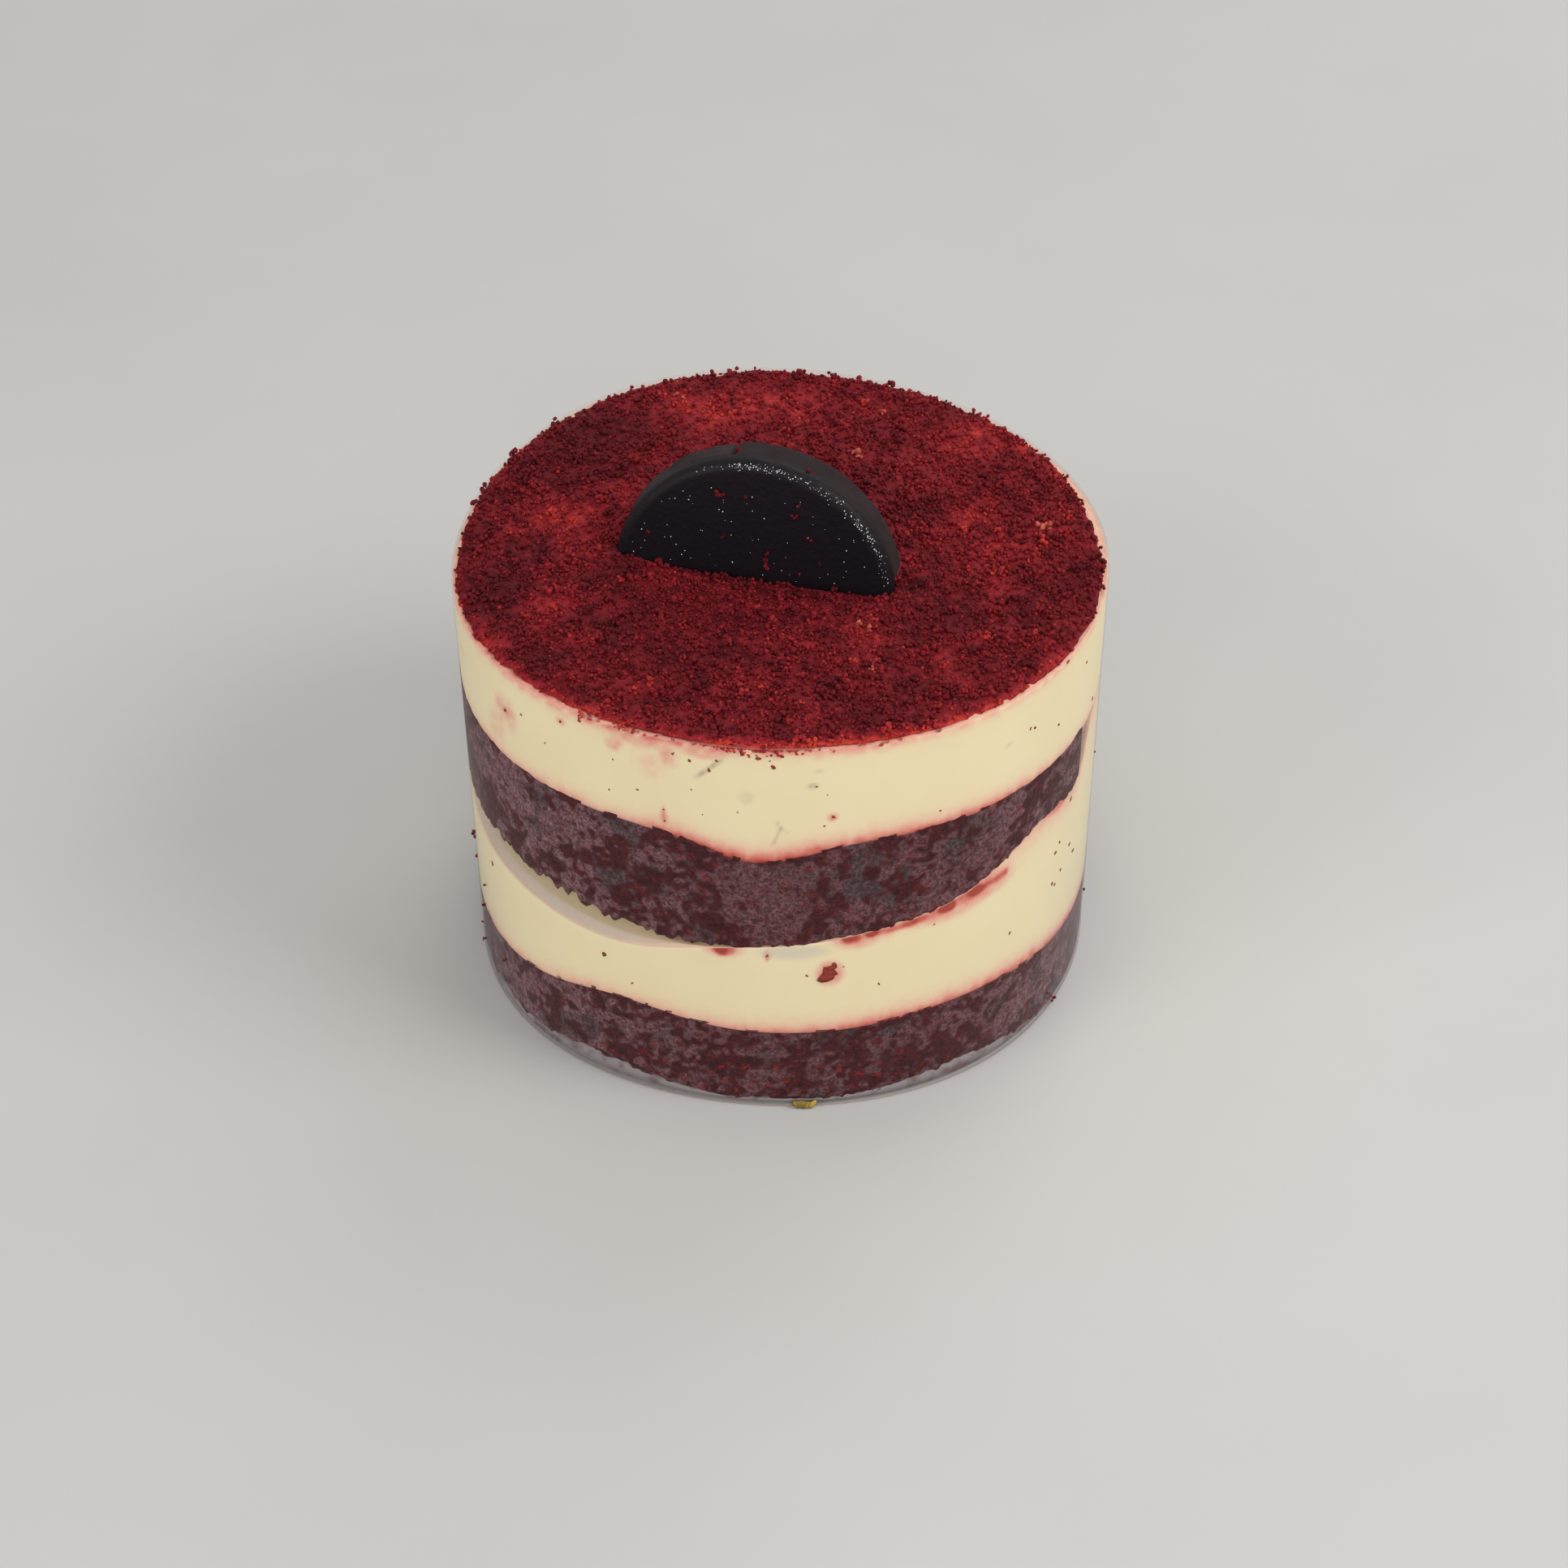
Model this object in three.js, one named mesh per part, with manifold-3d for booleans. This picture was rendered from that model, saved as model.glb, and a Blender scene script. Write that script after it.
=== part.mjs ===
// Red velvet cake cup: a thin clear plastic cup, filled to its rim with sponge, cream, sponge and cream,
// topped with red cake crumbs, and with a half disc of dark chocolate standing in the top.
// Millimetres, +Z up. The origin is the centre of the cup's base, and the front faces -Y.
// A heading is an angle about +Z from +X, so the front is at -90 degrees and the left side at 180.

import * as THREE from "three";
import { mergeVertices } from "three/addons/utils/BufferGeometryUtils.js";
import Module from "manifold-3d";

const wasm = await Module();
wasm.setup();

// Cup
const CUP_HEIGHT = 57;
const CUP_RIM_RADIUS = 40;
const CUP_BASE_RADIUS = 39.8;
const CUP_WALL = 0.45;
const CUP_FLOOR = 0.6;
const CUP_BASE_EDGE = 0.5;
// How far the thin wall is pushed out of round: the cosine and sine share of each whole-number wave
const OUT_OF_ROUND = [
  { waves: 2, cosine: -0.003, sine: -0.009 },
  { waves: 3, cosine: 0.0055, sine: -0.013 },
  { waves: 4, cosine: -0.0045, sine: 0.0075 },
];

// Filling. Heights are those seen through the wall.
const CLEARANCE = 0.12;
const LOWER_SPONGE_TOP = 10.4;
const LOWER_SPONGE_TILT = 2.6;
const LOWER_SPONGE_FOOT = 2.2;
const UPPER_SPONGE_UNDERSIDE = 30.4;
const UPPER_SPONGE_TOP = 43.3;
const CREAM_TOP = 56.5;
const CREAM_DISH_DEPTH = 0.7;

// Hollow at the left, where the lower cream doesn't reach up to the sponge
const HOLLOW_HEADING = -142;
const HOLLOW_WIDTH = 33;
const HOLLOW_HEIGHT = 4.6;
const HOLLOW_DEPTH = 4.5;

// Collar at the right, where the lower cream has been squeezed up between the sponge and the wall
const COLLAR_STEP = 5.2;
const COLLAR_THICKNESS = 1.6;

// Crumb topping
const CRUMB_HEIGHT = 57.35;
const CRUMB_RELIEF = 0.9;
const CRUMB_LUMP = 2.3;
const CRUMB_EDGE_INSET = 0.45;
const CRUMB_RINGS = 19;

// Chocolate disc
const DISC_RADIUS = 17.4;
const DISC_THICKNESS = 6.05;
const DISC_FRONT_EDGE = 1.7;
const DISC_BACK_EDGE = 0.8;
const DISC_BELOW_CENTRE = 1.2;
const DISC_CENTRE = new THREE.Vector3(-1.9, 0.2, 53.9);
const DISC_TURN = -12.9;
const DISC_LEAN = 4.9;
const DISC_CLEARANCE = 0.3;

const SEGMENTS = 90;
const DISC_SEGMENTS = 56;
const EDGE_STEPS = 4;

const radians = THREE.MathUtils.degToRad;

// Shares from 0 to 1 that shape the layers round the cup

// 1 at one heading, fading to 0 at about `width` degrees to either side; a higher power has a flatter top.
function bump(heading, centre, width, power = 2) {
  const apart = ((((heading - centre + 180) % 360) + 360) % 360) - 180;
  return Math.exp(-(Math.abs(apart / width) ** power));
}

function wave(heading, towards) {
  return Math.cos(radians(heading - towards));
}

// The torn edge of a cut sponge, in millimetres to either side of its smooth line.
function tornEdge(heading) {
  const turn = radians(heading);
  return 0.28 * Math.sin(19 * turn + 1.1) + 0.2 * Math.sin(31 * turn + 4) + 0.12 * Math.sin(43 * turn + 2.3);
}

// A fixed scatter of values from 0 to 1, one for each pair of whole numbers.
function scatter(column, row) {
  const value = Math.sin(column * 127.1 + row * 311.7) * 43758.5453;
  return value - Math.floor(value);
}

// Lumps of crumb, from 0 to 1, each about `size` across, blended softly between the middles of square cells.
function lumps(x, y, size) {
  const column = Math.floor(x / size);
  const row = Math.floor(y / size);
  const across = THREE.MathUtils.smoothstep(x / size - column, 0, 1);
  const along = THREE.MathUtils.smoothstep(y / size - row, 0, 1);
  const near = THREE.MathUtils.lerp(scatter(column, row), scatter(column + 1, row), across);
  const far = THREE.MathUtils.lerp(scatter(column, row + 1), scatter(column + 1, row + 1), across);
  return THREE.MathUtils.lerp(near, far, along);
}

// The cup's wall

function outOfRound(heading) {
  return OUT_OF_ROUND.reduce((share, { waves, cosine, sine }) => {
    const turn = radians(heading) * waves;
    return share + cosine * Math.cos(turn) + sine * Math.sin(turn);
  }, 1);
}

function wallOutside(heading, z) {
  const round = CUP_BASE_RADIUS + ((CUP_RIM_RADIUS - CUP_BASE_RADIUS) * z) / CUP_HEIGHT;
  return outOfRound(heading) * round;
}

function wallInside(heading, z) {
  return wallOutside(heading, z) - CUP_WALL;
}

// Where the layers meet, as heights at the wall

function lowerSpongeTop(heading) {
  const tilt = LOWER_SPONGE_TILT * wave(heading, -75);
  return LOWER_SPONGE_TOP + tilt + 2.5 * bump(heading, -120, 15.5) + 1.1 * bump(heading, -57, 17);
}

function lowerSpongeFoot(heading) {
  const tilt = 1.06 * wave(heading, 102);
  return LOWER_SPONGE_FOOT + tilt + 1.85 * bump(heading, -124, 12) + 1.7 * bump(heading, -56, 17);
}

function upperSpongeUnderside(heading) {
  return UPPER_SPONGE_UNDERSIDE + 0.9 * wave(heading, 0) - 3.8 * bump(heading, -100, 36);
}

function upperSpongeTop(heading) {
  return UPPER_SPONGE_TOP + 0.8 * wave(heading, 176) - 3.1 * bump(heading, -94, 11.6);
}

function hollowShare(heading) {
  return bump(heading, HOLLOW_HEADING, HOLLOW_WIDTH, 4);
}

// 1 where the cream covers the whole side of the upper sponge.
function fullCollarShare(heading) {
  return bump(heading, 24, 51, 12);
}

function collarShare(heading) {
  return Math.max(bump(heading, 14, 64, 8), fullCollarShare(heading));
}

function lowerCreamRim(heading) {
  const underside = upperSpongeUnderside(heading) - CLEARANCE;
  const full = upperSpongeTop(heading) - CLEARANCE - underside;
  const stepped = COLLAR_STEP * collarShare(heading);
  const raised = stepped + (full - stepped) * fullCollarShare(heading);
  return underside + raised - HOLLOW_HEIGHT * hollowShare(heading);
}

// How far in from the wall the lower cream's edge is shaped.
function lowerCreamEdgeDepth(heading) {
  const hollow = HOLLOW_DEPTH * hollowShare(heading);
  const collar = COLLAR_THICKNESS * collarShare(heading);
  return 0.3 + hollow + collar;
}

function crumbEdgeInset(heading) {
  const right = 1.1 * bump(heading, 14, 14);
  const front = 0.35 * bump(heading, -62, 25);
  return CRUMB_EDGE_INSET + right + front + 0.3 * tornEdge(heading + 30);
}

// Building solids

// Spins a profile round the cup's axis. Each station gives the radius and height at a heading, and the
// first and last lie on the axis.
function spin(stations) {
  const last = stations.length - 1;
  const profile = stations.map((_, i) => new THREE.Vector2(i === 0 || i === last ? 0 : 1, i));
  const geometry = new THREE.LatheGeometry(profile, SEGMENTS);
  const position = geometry.getAttribute("position");
  for (let i = 0; i < position.count; i += 1) {
    const place = Math.floor(i / stations.length) % SEGMENTS;
    const heading = (360 * place) / SEGMENTS - 180;
    const { radius, z } = stations[i % stations.length](heading, place);
    const turn = radians(heading);
    position.setXYZ(i, radius * Math.cos(turn), radius * Math.sin(turn), z);
  }
  return geometry;
}

// A station on the filling's side, `inset` in from where it would touch the wall.
function atWall(inset, z) {
  return (heading, place) => {
    const height = z(heading, place);
    return { radius: wallInside(heading, height) - CLEARANCE - inset(heading, place), z: height };
  };
}

// A station inside the filling, at a share of its radius. A layer's face is level at its middle and bends
// to the height that is seen at the wall.
function within(share, edgeHeight, middleHeight) {
  return (heading) => {
    const z = middleHeight + (edgeHeight(heading) - middleHeight) * share ** 2;
    return { radius: share * (wallInside(heading, z) - CLEARANCE), z };
  };
}

function offset(height, by) {
  return (heading) => height(heading) + by;
}

function constant(value) {
  return () => value;
}

function toManifold(geometry) {
  const bare = geometry.clone();
  bare.deleteAttribute("normal");
  bare.deleteAttribute("uv");
  const merged = mergeVertices(bare, 1e-3);
  const solid = new wasm.Mesh({
    numProp: 3,
    vertProperties: merged.getAttribute("position").array,
    triVerts: new Uint32Array(merged.index.array),
  });
  return new wasm.Manifold(solid);
}

function toGeometry(manifold) {
  const cut = manifold.getMesh();
  const geometry = new THREE.BufferGeometry();
  geometry.setAttribute("position", new THREE.BufferAttribute(cut.vertProperties, 3));
  geometry.setIndex(new THREE.BufferAttribute(cut.triVerts, 1));
  return geometry;
}

function piece(name, geometry, look) {
  geometry.computeVertexNormals();
  const mesh = new THREE.Mesh(geometry, new THREE.MeshStandardMaterial(look));
  mesh.name = name;
  return mesh;
}

// Cup: one moulded piece with a flat floor, a crisp base edge and a plain rim

function cupStation(inset, z) {
  return (heading) => ({ radius: wallOutside(heading, z) - inset, z });
}

const cup = piece(
  "cup",
  spin([
    () => ({ radius: 0, z: 0 }),
    cupStation(CUP_BASE_EDGE, 0),
    cupStation(0, CUP_BASE_EDGE),
    cupStation(0, CUP_HEIGHT),
    cupStation(CUP_WALL, CUP_HEIGHT),
    cupStation(CUP_WALL, CUP_FLOOR),
    () => ({ radius: 0, z: CUP_FLOOR }),
  ]),
  { color: 0xe8e8e6, roughness: 0.05, metalness: 0, transparent: true, opacity: 0.25 },
);

// Lower sponge: lies on the floor, its cut edge set back from the wall at the foot

const spongeBottom = CUP_FLOOR + CLEARANCE;
const spongeColour = { color: 0x5e1f24, roughness: 0.85, metalness: 0 };

const lowerSponge = piece(
  "lower_sponge",
  spin([
    () => ({ radius: 0, z: spongeBottom }),
    atWall((heading) => 1.1 * lowerSpongeFoot(heading) + 0.3 * tornEdge(heading), constant(spongeBottom)),
    atWall(
      (heading) => 0.3 * lowerSpongeFoot(heading),
      (heading) => spongeBottom + 0.8 * lowerSpongeFoot(heading) + 0.5 * tornEdge(heading),
    ),
    atWall(constant(0), (heading) => spongeBottom + 1.4 * lowerSpongeFoot(heading)),
    atWall(constant(0), lowerSpongeTop),
    within(0.7, lowerSpongeTop, LOWER_SPONGE_TOP),
    () => ({ radius: 0, z: LOWER_SPONGE_TOP }),
  ]),
  spongeColour,
);

// Lower cream: fills up to the upper sponge, short of it at the left and up past its side at the right

const creamColour = { color: 0xece3b8, roughness: 0.45, metalness: 0 };
const lowerCreamBase = offset(lowerSpongeTop, CLEARANCE);
const lowerCreamTop = offset(upperSpongeUnderside, -CLEARANCE);

const lowerCream = piece(
  "lower_cream",
  spin([
    () => ({ radius: 0, z: LOWER_SPONGE_TOP + CLEARANCE }),
    within(0.7, lowerCreamBase, LOWER_SPONGE_TOP + CLEARANCE),
    atWall(constant(0), lowerCreamBase),
    atWall(constant(0), (heading) => lowerCreamRim(heading) - 2.5),
    atWall(constant(0), lowerCreamRim),
    atWall(lowerCreamEdgeDepth, (heading) => {
      const lowered = HOLLOW_HEIGHT * hollowShare(heading);
      return lowerCreamRim(heading) + 0.75 * lowered;
    }),
    atWall((heading) => lowerCreamEdgeDepth(heading) + 0.5, lowerCreamTop),
    within(0.6, lowerCreamTop, UPPER_SPONGE_UNDERSIDE - CLEARANCE),
    () => ({ radius: 0, z: UPPER_SPONGE_UNDERSIDE - CLEARANCE }),
  ]),
  creamColour,
);

// Upper sponge: pressed against the wall in front, and held off it by the collar of cream at the right

const upperSpongeFoot = offset(upperSpongeUnderside, CLEARANCE);
const upperSpongeCrown = offset(upperSpongeTop, -CLEARANCE);

function upperSpongeInset(heading) {
  return (COLLAR_THICKNESS + 1) * fullCollarShare(heading);
}

const upperSponge = piece(
  "upper_sponge",
  spin([
    () => ({ radius: 0, z: UPPER_SPONGE_UNDERSIDE + CLEARANCE }),
    within(0.6, upperSpongeFoot, UPPER_SPONGE_UNDERSIDE + CLEARANCE),
    atWall((heading) => COLLAR_THICKNESS * collarShare(heading) + 1.2, upperSpongeFoot),
    atWall(
      (heading) => COLLAR_THICKNESS * collarShare(heading) * 0.9 + 0.55,
      (heading) => {
        const besideCollar = lowerCreamRim(heading) + HOLLOW_HEIGHT * hollowShare(heading);
        return Math.min(besideCollar + 0.5, upperSpongeCrown(heading) - 1.4);
      },
    ),
    atWall(upperSpongeInset, (heading) => {
      const besideCollar = lowerCreamRim(heading) + HOLLOW_HEIGHT * hollowShare(heading);
      const edge = besideCollar + 1.3 + 0.9 * tornEdge(heading);
      return Math.min(edge, upperSpongeCrown(heading) - 0.7);
    }),
    atWall(upperSpongeInset, upperSpongeCrown),
    within(0.7, upperSpongeCrown, UPPER_SPONGE_TOP - CLEARANCE),
    () => ({ radius: 0, z: UPPER_SPONGE_TOP - CLEARANCE }),
  ]),
  spongeColour,
);

// Chocolate disc: half of a thick round disc, its front edge rounded, pressed into the top.
// Its own frame has the back face at y = 0, the front face towards -Y and z up.

function discProfile(grow) {
  const radius = DISC_RADIUS + grow;
  const front = -DISC_THICKNESS - grow;
  const points = [new THREE.Vector2(0, front)];
  for (let i = 0; i <= EDGE_STEPS; i += 1) {
    const turn = (Math.PI / 2) * (i / EDGE_STEPS);
    const x = radius - DISC_FRONT_EDGE * (1 - Math.sin(turn));
    const y = front + DISC_FRONT_EDGE * (1 - Math.cos(turn));
    points.push(new THREE.Vector2(x, y));
  }
  points.push(new THREE.Vector2(radius, grow - DISC_BACK_EDGE));
  points.push(new THREE.Vector2(radius - DISC_BACK_EDGE, grow));
  points.push(new THREE.Vector2(0, grow));
  return points;
}

function halfDisc(grow) {
  const whole = toManifold(new THREE.LatheGeometry(discProfile(grow), DISC_SEGMENTS));
  const side = 3 * DISC_RADIUS;
  const block = new THREE.BoxGeometry(side, side, side);
  block.translate(0, 0, -DISC_BELOW_CENTRE - grow - side / 2);
  return whole.subtract(toManifold(block));
}

const disc = piece("chocolate_disc", toGeometry(halfDisc(0)), {
  color: 0x17100f,
  roughness: 0.35,
  metalness: 0,
});
disc.position.copy(DISC_CENTRE);
disc.rotation.set(radians(-DISC_LEAN), 0, radians(DISC_TURN), "ZYX");
disc.updateMatrixWorld(true);

const discSlot = toManifold(toGeometry(halfDisc(DISC_CLEARANCE)).applyMatrix4(disc.matrixWorld));

// Upper cream: smooth at the wall, with a shallow dish in its top for the crumbs and a slot for the disc

const creamDish = CREAM_TOP - CREAM_DISH_DEPTH;
const upperCreamBase = offset(upperSpongeTop, CLEARANCE);

const upperCreamWhole = spin([
  () => ({ radius: 0, z: UPPER_SPONGE_TOP + CLEARANCE }),
  within(0.7, upperCreamBase, UPPER_SPONGE_TOP + CLEARANCE),
  atWall(constant(0), upperCreamBase),
  atWall(constant(0), constant(CREAM_TOP)),
  atWall((heading) => crumbEdgeInset(heading) + 1, constant(CREAM_TOP - 0.1)),
  atWall((heading) => crumbEdgeInset(heading) + 2.5, constant(creamDish)),
  () => ({ radius: 0, z: creamDish }),
]);
const upperCream = piece(
  "upper_cream",
  toGeometry(toManifold(upperCreamWhole).subtract(discSlot)),
  creamColour,
);

// Crumb topping: a coat of crumbs with a lumpy top and a ragged edge, open where the disc stands

function crumbRing(ring) {
  const share = 1 - ring / CRUMB_RINGS;
  return (heading) => {
    const reach = wallInside(heading, CUP_HEIGHT) - CLEARANCE - crumbEdgeInset(heading) - 0.3;
    const radius = reach * share;
    const turn = radians(heading);
    const lump = lumps(radius * Math.cos(turn), radius * Math.sin(turn), CRUMB_LUMP);
    return { radius, z: CRUMB_HEIGHT + CRUMB_RELIEF * (lump - 0.4) };
  };
}

const crumbRings = Array.from({ length: CRUMB_RINGS - 1 }, (_, ring) => crumbRing(ring));
const toppingWhole = spin([
  () => ({ radius: 0, z: creamDish + CLEARANCE }),
  atWall((heading) => crumbEdgeInset(heading) + 2.6, constant(creamDish + CLEARANCE)),
  atWall((heading) => crumbEdgeInset(heading) + 1, constant(CREAM_TOP + CLEARANCE)),
  atWall(crumbEdgeInset, (heading, place) => CREAM_TOP + 0.3 + 0.3 * scatter(1, place)),
  ...crumbRings,
  () => ({ radius: 0, z: CRUMB_HEIGHT }),
]);
const topping = piece("crumb_topping", toGeometry(toManifold(toppingWhole).subtract(discSlot)), {
  color: 0x8a1416,
  roughness: 0.9,
  metalness: 0,
});

const cakeCup = new THREE.Group();
cakeCup.name = "red_velvet_cake_cup";
cakeCup.add(cup, lowerSponge, lowerCream, upperSponge, upperCream, topping, disc);

export default cakeCup;
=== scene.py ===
import itertools
import math

import bmesh
import bpy
import numpy as np
from mathutils import Matrix, Quaternion, Vector


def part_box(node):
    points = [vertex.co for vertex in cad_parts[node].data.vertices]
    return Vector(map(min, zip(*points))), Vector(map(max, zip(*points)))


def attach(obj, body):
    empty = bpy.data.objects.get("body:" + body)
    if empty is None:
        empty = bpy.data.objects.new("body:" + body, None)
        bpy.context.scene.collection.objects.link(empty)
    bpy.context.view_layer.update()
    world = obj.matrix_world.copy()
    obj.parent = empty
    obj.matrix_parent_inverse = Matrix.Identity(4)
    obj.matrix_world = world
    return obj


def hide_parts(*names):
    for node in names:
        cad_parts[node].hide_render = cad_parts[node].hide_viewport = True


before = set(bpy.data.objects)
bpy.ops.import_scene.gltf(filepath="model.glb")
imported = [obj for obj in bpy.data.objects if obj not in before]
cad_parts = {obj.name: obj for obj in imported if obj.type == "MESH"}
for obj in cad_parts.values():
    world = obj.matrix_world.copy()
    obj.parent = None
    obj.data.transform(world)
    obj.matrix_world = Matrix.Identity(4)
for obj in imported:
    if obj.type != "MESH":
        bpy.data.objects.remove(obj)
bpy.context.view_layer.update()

# Sizes in this file are millimetres, and MM brings them to metres. A heading is an angle in degrees about
# the cup's axis from +X, so the front is at -90 and the left side at 180.
MM = 0.001


# Stage: a pale matte sheet of paper on a table, carried on far behind the cup, with faint clouding in it.
FLOOR_SIZE = 6.0
FLOOR_LIGHT = (0.558, 0.551, 0.540, 1)
FLOOR_DARK = (0.536, 0.528, 0.514, 1)
PAPER_ROUGHNESS = 0.75


def new_material(name):
    material = bpy.data.materials.new(name)
    material.use_nodes = True
    return material


def fill(material, node, inputs):
    """Sets a node's inputs, each to a plain value or to another node's output."""
    for key, value in inputs.items():
        if isinstance(value, bpy.types.NodeSocket):
            material.node_tree.links.new(value, node.inputs[key])
        else:
            node.inputs[key].default_value = value


def add(material, kind, inputs, output, **settings):
    """Adds a shader node with its inputs and settings, and gives the named output."""
    node = material.node_tree.nodes.new("ShaderNode" + kind)
    for key, value in settings.items():
        setattr(node, key, value)
    fill(material, node, inputs)
    return node.outputs[output]


def finish(material, inputs):
    """Sets the inputs of a material's main shader."""
    fill(material, material.node_tree.nodes["Principled BSDF"], inputs)


def noise(material, scale, detail, roughness=0.5):
    """Cloudy noise that stays where it is on the piece."""
    place = add(material, "TexCoord", {}, "Object")
    inputs = {"Vector": place, "Scale": scale, "Detail": detail, "Roughness": roughness}
    return add(material, "TexNoise", inputs, "Fac")


def colour_ramp(material, factor, stops):
    """The colour at `factor` along a ramp through (place, colour) stops."""
    colour = add(material, "ValToRGB", {"Fac": factor}, "Color")
    elements = colour.node.color_ramp.elements
    elements[0].position, elements[0].color = stops[0]
    elements[1].position, elements[1].color = stops[-1]
    for place, between in stops[1:-1]:
        elements.new(place).color = between
    return colour


bpy.ops.mesh.primitive_plane_add(size=FLOOR_SIZE)
floor = bpy.context.object
floor.name = "paper_floor"
paper = new_material("matte_paper")
clouds = noise(paper, 9.0, 4.0, 0.6)
tint = colour_ramp(paper, clouds, [(0.35, FLOOR_DARK), (0.65, FLOOR_LIGHT)])
finish(paper, {"Base Color": tint, "Roughness": PAPER_ROUGHNESS})
floor.data.materials.append(paper)


# Light: an overcast room, with large soft lamps high at the right, over the camera, at the left and
# behind the cup.
ROOM_COLOUR = (1.0, 1.0, 0.99, 1)
ROOM_STRENGTH = 0.52
LAMPS_AIM = Vector((0, 0, 0.04))

world = bpy.data.worlds.new("overcast_room")
bpy.context.scene.world = world
world.use_nodes = True
world.node_tree.nodes["Background"].inputs["Color"].default_value = ROOM_COLOUR
world.node_tree.nodes["Background"].inputs["Strength"].default_value = ROOM_STRENGTH


def soft_lamp(name, location, size, watts, colour):
    lamp = bpy.data.lights.new(name, "AREA")
    lamp.shape = "DISK"
    lamp.size = size
    lamp.energy = watts
    lamp.color = colour
    holder = bpy.data.objects.new(name, lamp)
    bpy.context.collection.objects.link(holder)
    holder.location = location
    aim = LAMPS_AIM - Vector(location)
    holder.rotation_euler = aim.to_track_quat("-Z", "Y").to_euler()


soft_lamp("lamp_right", (0.60, -0.25, 0.62), 0.45, 3.4, (1.0, 1.0, 0.985))
soft_lamp("lamp_front", (-0.05, -1.0, 0.62), 0.8, 2.6, (1.0, 0.995, 0.97))
soft_lamp("lamp_left", (-0.75, -0.60, 0.50), 0.6, 2.6, (1.0, 0.995, 0.985))
soft_lamp("lamp_back", (0.40, 0.75, 0.80), 0.8, 2.6, (1.0, 1.0, 0.99))

bpy.context.scene.view_settings.view_transform = "Standard"


# Camera: a phone held in front of the cup, looking down at it.
CAMERA_DISTANCE = 0.422
CAMERA_ELEVATION = math.radians(41.4)
CAMERA_ROLL = math.radians(-0.35)
PHOTO_SIDE = 1932
FOCAL_PIXELS = 3900
ORIGIN_PIXEL = (962.4, 1107.0)
SENSOR = 36.0

towards_camera = Vector((0, -math.cos(CAMERA_ELEVATION), math.sin(CAMERA_ELEVATION)))
level_up = Vector((0, math.sin(CAMERA_ELEVATION), math.cos(CAMERA_ELEVATION)))
level_right = Vector((1, 0, 0))
camera_right = level_right * math.cos(CAMERA_ROLL) + level_up * math.sin(CAMERA_ROLL)
camera_up = level_up * math.cos(CAMERA_ROLL) - level_right * math.sin(CAMERA_ROLL)
turn = Matrix((camera_right, camera_up, towards_camera)).transposed().to_4x4()
lens = bpy.data.cameras.new("camera")
lens.sensor_width = SENSOR
lens.lens = FOCAL_PIXELS / PHOTO_SIDE * SENSOR
lens.shift_x = (PHOTO_SIDE / 2 - ORIGIN_PIXEL[0]) / PHOTO_SIDE
lens.shift_y = (ORIGIN_PIXEL[1] - PHOTO_SIDE / 2) / PHOTO_SIDE
lens.clip_start = 0.01
camera = bpy.data.objects.new("camera", lens)
camera.matrix_world = Matrix.Translation(towards_camera * CAMERA_DISTANCE) @ turn
bpy.context.collection.objects.link(camera)
bpy.context.scene.camera = camera


# Cup: a thin clear plastic tub, blow-formed in one piece with straight sides and a crisp base edge, and
# pushed a little out of round by its filling. Its cut rim and base edge catch the light as pale lines, which
# are painted on them as a pale pinkish gleam.
CUP_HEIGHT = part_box("cup")[1][2] / MM
CUP_RIM_RADIUS = 40.0
CUP_BASE_RADIUS = 39.8
CUP_WALL = 0.45
CUP_FLOOR = 0.6
CUP_BASE_EDGE = 0.5
RIM_ROUNDING = 0.12
MIRROR_AT_EDGE = 0.42
MIRROR_FACE_ON = 0.014
EDGE_GLEAM_TINT = (0.78, 0.46, 0.40, 1)
EDGE_GLEAM_SHARE = 0.2
OUT_OF_ROUND = ((2, -0.003, -0.009), (3, 0.0055, -0.013), (4, -0.0045, 0.0075))
AROUND = 720
HEADINGS = np.arange(AROUND) * 360.0 / AROUND - 180.0


def wall_radius(heading, z):
    """The cup's outer radius at a heading and height."""
    turn = np.radians(heading)
    share = 1.0
    for waves, cosine, sine in OUT_OF_ROUND:
        share = share + cosine * np.cos(waves * turn) + sine * np.sin(waves * turn)
    return share * (CUP_BASE_RADIUS + (CUP_RIM_RADIUS - CUP_BASE_RADIUS) * z / CUP_HEIGHT)


def spot(heading, radius, z):
    """Points in millimetres from headings, radii and heights."""
    turn = np.radians(heading)
    radius, z = np.broadcast_arrays(radius, z)
    return np.stack([radius * np.cos(turn), radius * np.sin(turn), z], axis=-1)


def new_piece(name, points, faces, marks, material, node=None):
    """A mesh piece from points in millimetres, with named values at its points for the material to read."""
    mesh = bpy.data.meshes.new(name)
    mesh.from_pydata((points * MM).tolist(), [], faces if isinstance(faces, list) else faces.tolist())
    mesh.shade_smooth()
    for mark, values in marks.items():
        mesh.attributes.new(mark, "FLOAT", "POINT").data.foreach_set("value", values.astype(np.float32))
    mesh.materials.append(material)
    piece = bpy.data.objects.new(name, mesh)
    bpy.context.collection.objects.link(piece)
    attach(piece, "root")
    if node:
        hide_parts(node)
    return piece


def spun_faces(rings, around):
    """The quads between rings, and a fan to one point at each end."""
    here = np.arange(around)
    after = (here + 1) % around
    quads = []
    for ring in range(rings - 1):
        low, high = ring * around, (ring + 1) * around
        quads.append(np.stack([low + here, low + after, high + after, high + here], axis=1))
    first, last = rings * around, rings * around + 1
    quads.append(np.stack([after, here, np.full(around, first), np.full(around, first)], axis=1))
    top = (rings - 1) * around
    quads.append(np.stack([top + here, top + after, np.full(around, last), np.full(around, last)], axis=1))
    faces = np.concatenate(quads)
    return [tuple(f[:3]) if f[2] == f[3] else tuple(f) for f in faces.tolist()]


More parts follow.
